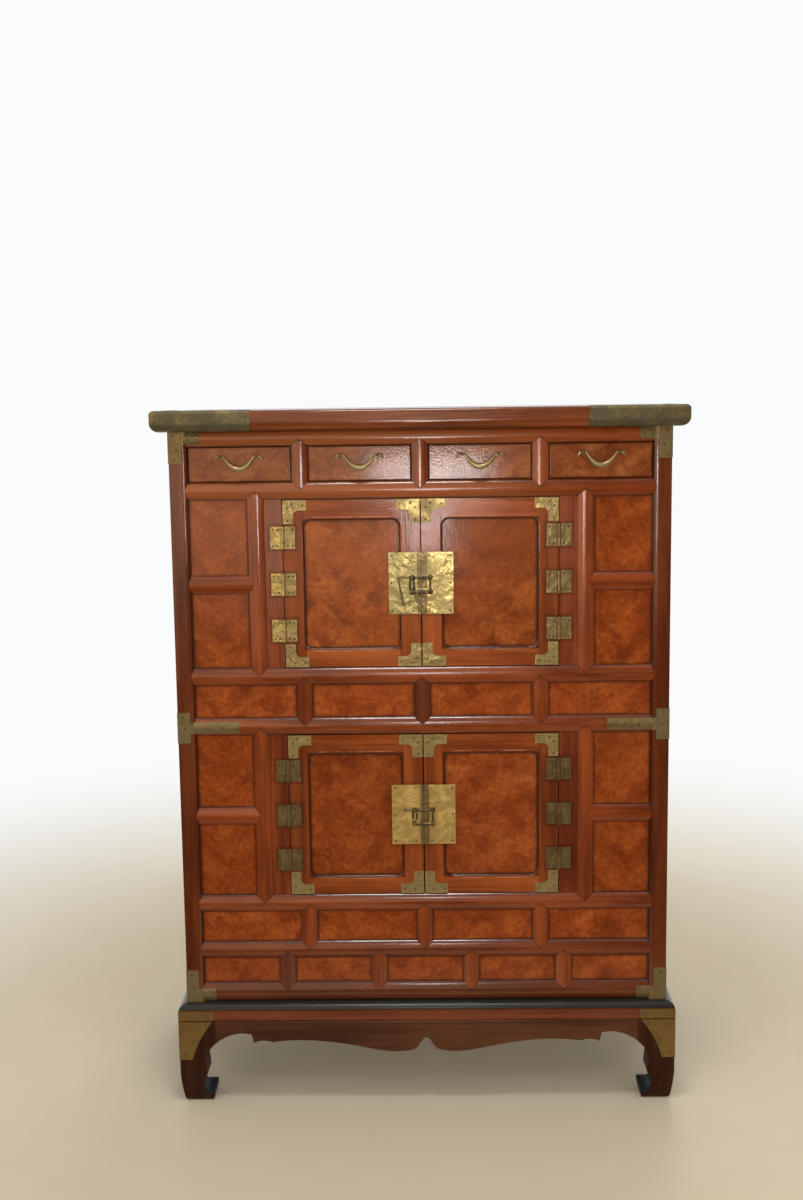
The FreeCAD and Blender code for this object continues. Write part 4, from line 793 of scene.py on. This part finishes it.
YELLOW = (0.60, 0.44, 0.16)
OLIVE = (0.185, 0.130, 0.055)
UMBER = (0.085, 0.052, 0.023)
RIB_BROWN = (0.190, 0.120, 0.055)
STAPLE_UMBER = (0.060, 0.040, 0.018)
GREEN_GREY = (0.30, 0.245, 0.095)
GLINT_GOLD = (0.74, 0.52, 0.15)
DARK_OLIVE = (0.125, 0.074, 0.026)
GOLDEN = (0.78, 0.490, 0.130)


def aged_brass(name, bright, dull, dark, tarnish, dents, stains=()):
    """tarnish is the share of the sheet that has gone dull; stains are laid over it as coats."""
    finish = Finish(name)
    x, y, z = finish.place()
    point = finish.vector(x, y, z)
    blotches = finish.cloud(point, 34.0, 5.0, 0.62, 0.6)
    specks = finish.cloud(point, 210.0, 3.0, 0.6)
    scratches = finish.cloud(finish.vector(x * 90.0, y * 90.0, z * 900.0), 1.0, 2.0, 0.6)
    dull_share = finish.fade(blotches * 0.8 + specks * 0.2, 0.72 - 0.5 * tarnish, 0.92 - 0.5 * tarnish)
    dark_share = finish.fade(specks * 0.55 + blotches * 0.45, 0.58, 0.74) * 0.65
    colour = finish.mix(dark_share, finish.mix(dull_share, bright, dull), dark)
    colour = coated(finish, colour, stains, x, y, z)
    hammered = finish.cloud(point, 55.0, 3.0, 0.55)
    height = hammered * dents + specks * 0.12 + scratches * 0.06
    roughness = dull_share * 0.16 + scratches * 0.10 + 0.24
    metallic = 0.72 - dull_share * 0.25 - dark_share * 0.3
    return finish.surface(colour, roughness, finish.bump(height, 0.35, 0.0022), Metallic=metallic)


def brown_rib(finish, x, y, z):
    """The rib over the doors' seam is left brown by handling."""
    return finish.fade(inset(finish, x, [LOCK_RIB]), 0.0, 0.0008) * 0.8, RIB_BROWN


def dark_staples(finish, x, y, z):
    """The staples, their links and the hanging pin stand out umber before the plates."""
    patchy = finish.cloud(finish.vector(x, y, z), 160.0, 3.0, 0.6)
    return (y < STAPLES_BACK) * finish.fade(patchy, 0.74, 0.46) * 0.95, STAPLE_UMBER


def green_half(finish, x, y, z):
    """The upper lock's left half has gone green-grey."""
    return (x < 0.0) * (z > MIDDLE_RAIL) * 0.6, GREEN_GREY


def golden_lower(finish, x, y, z):
    """The lower lock's plates are yellower."""
    return (z < MIDDLE_RAIL) * 0.6, GOLDEN


def painted_glint_leaves(finish, x, y, z):
    """A painted glint: the upper left hinges are painted bright on the frame's side, standing for a
    reflection there.
    """
    patchy = finish.cloud(finish.vector(x, y, z), 75.0, 4.0, 0.6, 0.8)
    return (x < -HINGE_LINE) * (z > MIDDLE_RAIL) * finish.fade(patchy, 0.40, 0.60) * 0.8, GLINT_GOLD


def lower_tarnish(finish, x, y, z):
    """The lower doors' hinges have gone dark olive, and the upper right ones half of that."""
    on_hinge = from_hinges(finish, x, z) < FACE_MARGIN
    streaks = finish.fade(finish.cloud(finish.vector(x * 260.0, y, z * 45.0), 1.0, 4.0, 0.6), 0.34, 0.62)
    share = finish.most((z < MIDDLE_RAIL) * (streaks * 0.25 + 0.62), (x > 0.0) * (streaks * 0.40 + 0.20))
    return on_hinge * share, DARK_OLIVE


lock_brass = aged_brass("lock_brass", YELLOW, (0.38, 0.285, 0.110), (0.17, 0.115, 0.050),
                        tarnish=0.55, dents=3.0, stains=[green_half, golden_lower, brown_rib, dark_staples])
hinge_brass = aged_brass("hinge_brass", (0.45, 0.320, 0.120), (0.26, 0.180, 0.068), UMBER,
                         tarnish=0.6, dents=3.0, stains=[lower_tarnish, painted_glint_leaves])
corner_brass = aged_brass("corner_brass", (0.26, 0.178, 0.070), OLIVE, UMBER, tarnish=0.7, dents=1.8)
cap_brass = aged_brass("cap_brass", (0.215, 0.165, 0.074), (0.098, 0.083, 0.043), (0.048, 0.039, 0.020),
                       tarnish=0.74, dents=1.2)
pull_brass = aged_brass("pull_brass", (0.44, 0.33, 0.15), (0.26, 0.19, 0.085), UMBER, tarnish=0.6, dents=0.2)
bolt_brass = aged_brass("bolt_brass", (0.20, 0.145, 0.066), (0.11, 0.077, 0.036), (0.045, 0.030, 0.016),
                        tarnish=0.7, dents=0.2)
knee_brass = aged_brass("knee_brass", (0.27, 0.158, 0.046), (0.150, 0.085, 0.026), UMBER,
                        tarnish=0.6, dents=0.8)
nail_brass = aged_brass("nail_brass", (0.18, 0.125, 0.052), (0.095, 0.064, 0.028), (0.04, 0.026, 0.014),
                        tarnish=0.7, dents=0.1)

hang([door + "_fittings" for door in DOORS] + ["frame_hinge_leaves"], hinge_brass)
hang([door + "_lock" for door in DOORS], lock_brass)
hang(["upper_lock_bolt", "lower_lock_bolt", "hinge_pins"], bolt_brass)
hang(["corner_brass"], corner_brass)
hang(["stand_brass"], knee_brass)
hang(["top_slab_caps"], cap_brass)
hang([drawer + "_pull" for drawer in DRAWERS], pull_brass)
hang([drawer + "_pull_posts" for drawer in DRAWERS], bolt_brass)


# Nails: domed heads set out over the brass sheets, one mesh for each body

NAIL_RADIUS = 0.0017
NAIL_RISE = 0.0008
NAIL_UNEVENNESS = 0.18
NAIL_SEED = 7
OUT = (0.0, -1.0, 0.0)

# A nail's place in from the door's edges, or from the seam and up from the door's middle
CORNER_PLATE_NAILS = [(0.015, 0.0065), (0.033, 0.008), (0.0075, 0.0135), (0.0075, 0.034)]
LOCK_NAILS = [(0.047, 0.046), (0.047, -0.046), (0.048, 0.0), (0.0125, 0.046), (0.0125, -0.046)]
LEAF_NAILS_ACROSS = (0.0075, 0.0155)
LEAF_NAILS_UP = (-0.0135, 0.0135)

# A nail's place in from the body's or the stand's corner, and its level
POST_NAILS = [(0.007, BODY_TOP - 0.007), (0.013, BODY_TOP - 0.030), (0.009, BODY_TOP - 0.046),
              (0.009, MIDDLE_RAIL + 0.020), (0.009, MIDDLE_RAIL - 0.020), (0.012, MIDDLE_RAIL),
              (0.009, STAND_TOP + 0.048), (0.012, STAND_TOP + 0.026)]
RAIL_NAILS = [(0.032, BODY_TOP - 0.013), (0.046, BODY_TOP - 0.013), (0.050, MIDDLE_RAIL),
              (0.075, MIDDLE_RAIL), (0.098, MIDDLE_RAIL), (0.046, STAND_TOP + 0.016)]
STAND_NAILS = [(0.010, LEG_TOP + 0.0105), (0.050, LEG_TOP + 0.0105), (0.008, LEG_TOP - 0.010),
               (0.046, LEG_TOP - 0.007), (0.009, LEG_TOP - 0.058), (0.026, LEG_TOP - 0.034)]
CAP_NAILS_IN = (0.010, 0.055, 0.105, 0.156)
CAP_NAILS_DOWN = (0.009, 0.018)


def nail_tree():
    """Puts a domed head on every point, turned to the point's own facing."""
    tree = bpy.data.node_groups.new("nail_heads", "GeometryNodeTree")
    tree.interface.new_socket("Points", in_out="INPUT", socket_type="NodeSocketGeometry")
    sizes = {"Head radius": NAIL_RADIUS, "Head rise": NAIL_RISE, "Unevenness": NAIL_UNEVENNESS}
    for name, value in sizes.items():
        tree.interface.new_socket(name, in_out="INPUT", socket_type="NodeSocketFloat").default_value = value
    tree.interface.new_socket("Metal", in_out="INPUT", socket_type="NodeSocketMaterial")
    tree.interface.new_socket("Nails", in_out="OUTPUT", socket_type="NodeSocketGeometry")
    build = Finish("", tree)
    given = tree.nodes.new("NodeGroupInput")
    named = {socket.name: Socket(build, socket) for socket in given.outputs if socket.name}
    dome = build.add("GeometryNodeMeshUVSphere", inputs={"Segments": 10, "Rings": 6, "Radius": 1.0})
    size = build.vector(named["Head radius"], named["Head radius"], named["Head rise"])
    head = build.add("GeometryNodeTransform", inputs={"Geometry": dome, "Scale": size})
    facing = build.add("GeometryNodeInputNamedAttribute", {"data_type": "FLOAT_VECTOR"}, {"Name": "facing"})
    turn = build.add("FunctionNodeAlignRotationToVector", {"axis": "Z"}, {"Vector": facing})
    uneven = build.add("FunctionNodeRandomValue", {"data_type": "FLOAT"},
                       {2: 1 - named["Unevenness"], 3: 1 + named["Unevenness"], "Seed": NAIL_SEED}, output=1)
    placed = build.add("GeometryNodeInstanceOnPoints", inputs={
        "Points": named["Points"], "Instance": head, "Rotation": turn, "Scale": uneven})
    solid = build.add("GeometryNodeRealizeInstances", inputs=[placed])
    smooth = build.add("GeometryNodeSetShadeSmooth", inputs=[solid])
    painted = build.add("GeometryNodeSetMaterial", inputs={"Geometry": smooth, "Material": named["Metal"]})
    build.add("NodeGroupOutput", inputs=[painted])
    return tree


NAILS = nail_tree()


def drive_nails(name, body, spots):
    """spots are (place, facing) pairs on one body."""
    mesh = bpy.data.meshes.new(name)
    mesh.from_pydata([place for place, facing in spots], [], [])
    facings = mesh.attributes.new("facing", "FLOAT_VECTOR", "POINT")
    for value, (place, facing) in zip(facings.data, spots):
        value.vector = facing
    nails = bpy.data.objects.new(name, mesh)
    bpy.context.scene.collection.objects.link(nails)
    modifier = nails.modifiers.new("nails", "NODES")
    modifier.node_group = NAILS
    sockets = {item.name: item.identifier for item in NAILS.interface.items_tree if item.in_out == "INPUT"}
    modifier[sockets["Metal"]] = nail_brass
    depsgraph = bpy.context.evaluated_depsgraph_get()
    nails.data = bpy.data.meshes.new_from_object(nails.evaluated_get(depsgraph))
    nails.modifiers.clear()
    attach(nails, body)


def leaf_nails(edge, way, face, middle):
    """Nails of three hinge leaves that reach out from an edge, about the door's middle."""
    return [((edge + way * across, face - LEAF, middle + step * HINGE_STEP + up), OUT)
            for step in (-1, 0, 1) for across in LEAF_NAILS_ACROSS for up in LEAF_NAILS_UP]


def door_nails(door):
    """Nails of a door's corner plates, hinge leaves and half of the lock plate."""
    low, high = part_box(door + "_frame")
    middle = (low.z + high.z) / 2
    seam, hinge = (high.x, low.x) if "left" in door else (low.x, high.x)
    to_seam = math.copysign(1.0, seam - hinge)
    spots = []
    for corner_x, way in ((seam, -to_seam), (hinge, to_seam)):
        for corner_z, up in ((low.z, 1.0), (high.z, -1.0)):
            spots += [((corner_x + way * across, low.y - PLATE, corner_z + up * along), OUT)
                      for across, along in CORNER_PLATE_NAILS]
    spots += leaf_nails(hinge, to_seam, low.y, middle)
    spots += [((seam - to_seam * across, low.y - PLATE, middle + up), OUT) for across, up in LOCK_NAILS]
    return spots


def wrapped_nails(side, half_width, front, lift, places):
    """Nails on the front of a plate that wraps a corner, each with a twin on the plate's side."""
    spots = []
    for inward, z in places:
        spots.append(((side * (half_width - inward), front - lift, z), OUT))
        spots.append(((side * (half_width + lift), front + inward, z), (side, 0.0, 0.0)))
    return spots


def carcass_nails():
    """Nails of the frame's hinge leaves and of the plates on the body, the slab and the stand."""
    cap_low, cap_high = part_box("top_slab_caps")
    cap_nails = [(inward, cap_high.z - down) for inward in CAP_NAILS_IN for down in CAP_NAILS_DOWN]
    spots = []
    for side in (-1.0, 1.0):
        for door in ("upper_left_door", "lower_left_door"):
            low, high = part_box(door + "_frame")
            spots += leaf_nails(side * DOOR_OPENING_HALF, side, low.y, (low.z + high.z) / 2)
        spots += wrapped_nails(side, HALF_WIDTH, FRONT, BRASS_SHEET, POST_NAILS)
        spots += wrapped_nails(side, HALF_WIDTH, FRONT, BRASS_SHEET - RAIL_SETBACK, RAIL_NAILS)
        spots += wrapped_nails(side, cap_high.x, cap_low.y, 0.0, cap_nails)
        spots += wrapped_nails(side, STAND_HALF, STAND_FRONT, BRASS_SHEET, STAND_NAILS)
    return spots


for door in DOORS:
    drive_nails(door + "_nails", door, door_nails(door))
drive_nails("carcass_nails", "carcass", carcass_nails())


# Floor and surroundings

BACKGROUND = (0.955, 0.970, 0.966)
DIM_ROOM = (0.052, 0.044, 0.037)
PALE_WALL = (1.10, 0.88, 0.64)
CEILING = (0.80, 0.78, 0.75)
FLOOR_DARKER = (0.62, 0.535, 0.375)
FLOOR_PALER = (0.67, 0.585, 0.420)
FLOOR_HALF = 9.0
FILL_COLOUR = (1.0, 0.98, 0.96, 1.0)
FILL_STRENGTH = 0.54


def camera_ray(finish):
    """1 for rays from the camera itself."""
    return finish.add("ShaderNodeLightPath", output="Is Camera Ray")


def seen_directly(finish):
    """1 for camera, mirror and glass rays."""
    return finish.most(*[finish.add("ShaderNodeLightPath", output=ray)
                         for ray in ("Is Camera Ray", "Is Glossy Ray", "Is Transmission Ray")])


def surroundings(finish, aside, back, raised):
    """The pale backdrop; reflections see a dim room in front, with a paler wall at its upper left."""
    room = finish.mix(finish.fade(aside, 0.12, -0.03) * raised, DIM_ROOM, PALE_WALL)
    reflected = finish.mix(finish.fade(back, 0.15, 0.7), room, BACKGROUND)
    return finish.mix(camera_ray(finish), reflected, BACKGROUND)


def pale_floor():
    """A pale floor near the cabinet that fades into the backdrop."""
    finish = Finish("pale_floor")
    x, y, z = finish.place()
    distance = finish.math("SQRT", x * x + y * y)
    away = finish.fade(distance * (2.4 - camera_ray(finish) * 1.4), 0.7, 2.4)
    grain = finish.cloud(finish.vector(x, y, z), 9.0, 4.0, 0.6)
    near = finish.add("ShaderNodeBsdfPrincipled", inputs={
        "Base Color": finish.mix(grain, FLOOR_DARKER, FLOOR_PALER), "Roughness": 0.55,
        "Specular IOR Level": 0.25})
    around = surroundings(finish, x / distance, y / distance, finish.fade(distance, 3.5, 12.0))
    far = finish.add("ShaderNodeEmission", inputs=[around, 1.0])
    mixed = finish.add("ShaderNodeMixShader", inputs=[away * seen_directly(finish), near, far])
    finish.add("ShaderNodeOutputMaterial", inputs=[mixed])
    return finish.material


def lay_floor():
    mesh = bpy.data.meshes.new("floor")
    corners = [(-FLOOR_HALF, -FLOOR_HALF, 0), (FLOOR_HALF, -FLOOR_HALF, 0),
               (FLOOR_HALF, FLOOR_HALF, 0), (-FLOOR_HALF, FLOOR_HALF, 0)]
    mesh.from_pydata(corners, [], [(0, 1, 2, 3)])
    mesh.materials.append(pale_floor())
    floor = bpy.data.objects.new("floor", mesh)
    bpy.context.scene.collection.objects.link(floor)


def studio_world():
    """Even fill light, and what the camera and the reflections see around the cabinet."""
    world = bpy.data.worlds.new("studio")
    world.use_nodes = True
    bpy.context.scene.world = world
    sky = Finish("", world.node_tree)
    aside, back, up = sky.split(sky.add("ShaderNodeTexCoord", output="Generated"))
    around = surroundings(sky, aside, back, sky.fade(up, -0.20, -0.05))
    overhead = sky.fade(up, 0.68, 0.96) * (1 - camera_ray(sky))
    backdrop = sky.add("ShaderNodeBackground", inputs=[sky.mix(overhead, around, CEILING), 1.0])
    fill = sky.add("ShaderNodeBackground", inputs=[FILL_COLOUR, FILL_STRENGTH])
    mixed = sky.add("ShaderNodeMixShader", inputs=[seen_directly(sky), fill, backdrop])
    sky.add("ShaderNodeOutputWorld", inputs=[mixed])


lay_floor()
studio_world()


# Lamps


def soft_lamp(name, place, target, width, height, watts, mirrored=True):
    """An area lamp; one that isn't mirrored gives fill without its own glint."""
    lamp = bpy.data.lights.new(name, "AREA")
    lamp.shape = "RECTANGLE"
    lamp.size = width
    lamp.size_y = height
    lamp.energy = watts
    holder = bpy.data.objects.new(name, lamp)
    holder.location = place
    holder.rotation_euler = (Vector(target) - Vector(place)).to_track_quat("-Z", "Y").to_euler()
    holder.visible_camera = False
    holder.visible_glossy = mirrored
    bpy.context.scene.collection.objects.link(holder)


soft_lamp("front_bar", (0.02, -1.0, 1.04), (0.02, FRONT, 1.04), width=0.24, height=0.045, watts=0.62)
soft_lamp("front_strip", (0.012, -1.0, 0.925), (0.012, FRONT, 0.925), width=0.060, height=0.14, watts=0.50)
soft_lamp("front_fill", (0.0, -2.7, 1.1), (0.0, FRONT, 0.8), width=0.5, height=0.5, watts=23.0,
          mirrored=False)
soft_lamp("ceiling_lamp", (-0.05, -0.75, 2.6), (-0.05, FRONT, 0.9), width=0.45, height=0.30, watts=11.0)
for name, x in (("left_window", -2.4), ("right_window", 2.4)):
    soft_lamp(name, (x, -2.4, 0.9), (0.0, FRONT, 0.8), width=2.6, height=1.8, watts=14.0, mirrored=False)
soft_lamp("back_lamp", (0.6, 2.6, 2.4), (0.0, 0.0, 0.6), width=1.4, height=1.4, watts=40.0, mirrored=False)


# Camera: in front, as high as the cabinet's top, looking slightly down

PICTURE_HEIGHT = 1200.0
FOCAL_PIXELS = 1444.0
SENSOR_HEIGHT = 36.0
CAMERA_PLACE = (0.008, FRONT - 2.360, 1.199)
CAMERA_SWING = 0.01723
CAMERA_DIP = 0.13834
CAMERA_ROLL = -0.01359


def set_camera():
    camera = bpy.data.cameras.new("camera")
    camera.sensor_fit = "VERTICAL"
    camera.sensor_height = SENSOR_HEIGHT
    camera.lens = FOCAL_PIXELS / PICTURE_HEIGHT * SENSOR_HEIGHT
    viewer = bpy.data.objects.new("camera", camera)
    swung = Matrix.Rotation(CAMERA_SWING, 4, "Z")
    dipped = Matrix.Rotation(math.pi / 2 - CAMERA_DIP, 4, "X")
    rolled = Matrix.Rotation(CAMERA_ROLL, 4, "Z")
    viewer.matrix_world = Matrix.Translation(CAMERA_PLACE) @ swung @ dipped @ rolled
    bpy.context.scene.collection.objects.link(viewer)
    bpy.context.scene.camera = viewer


set_camera()
bpy.context.scene.view_settings.view_transform = "Standard"
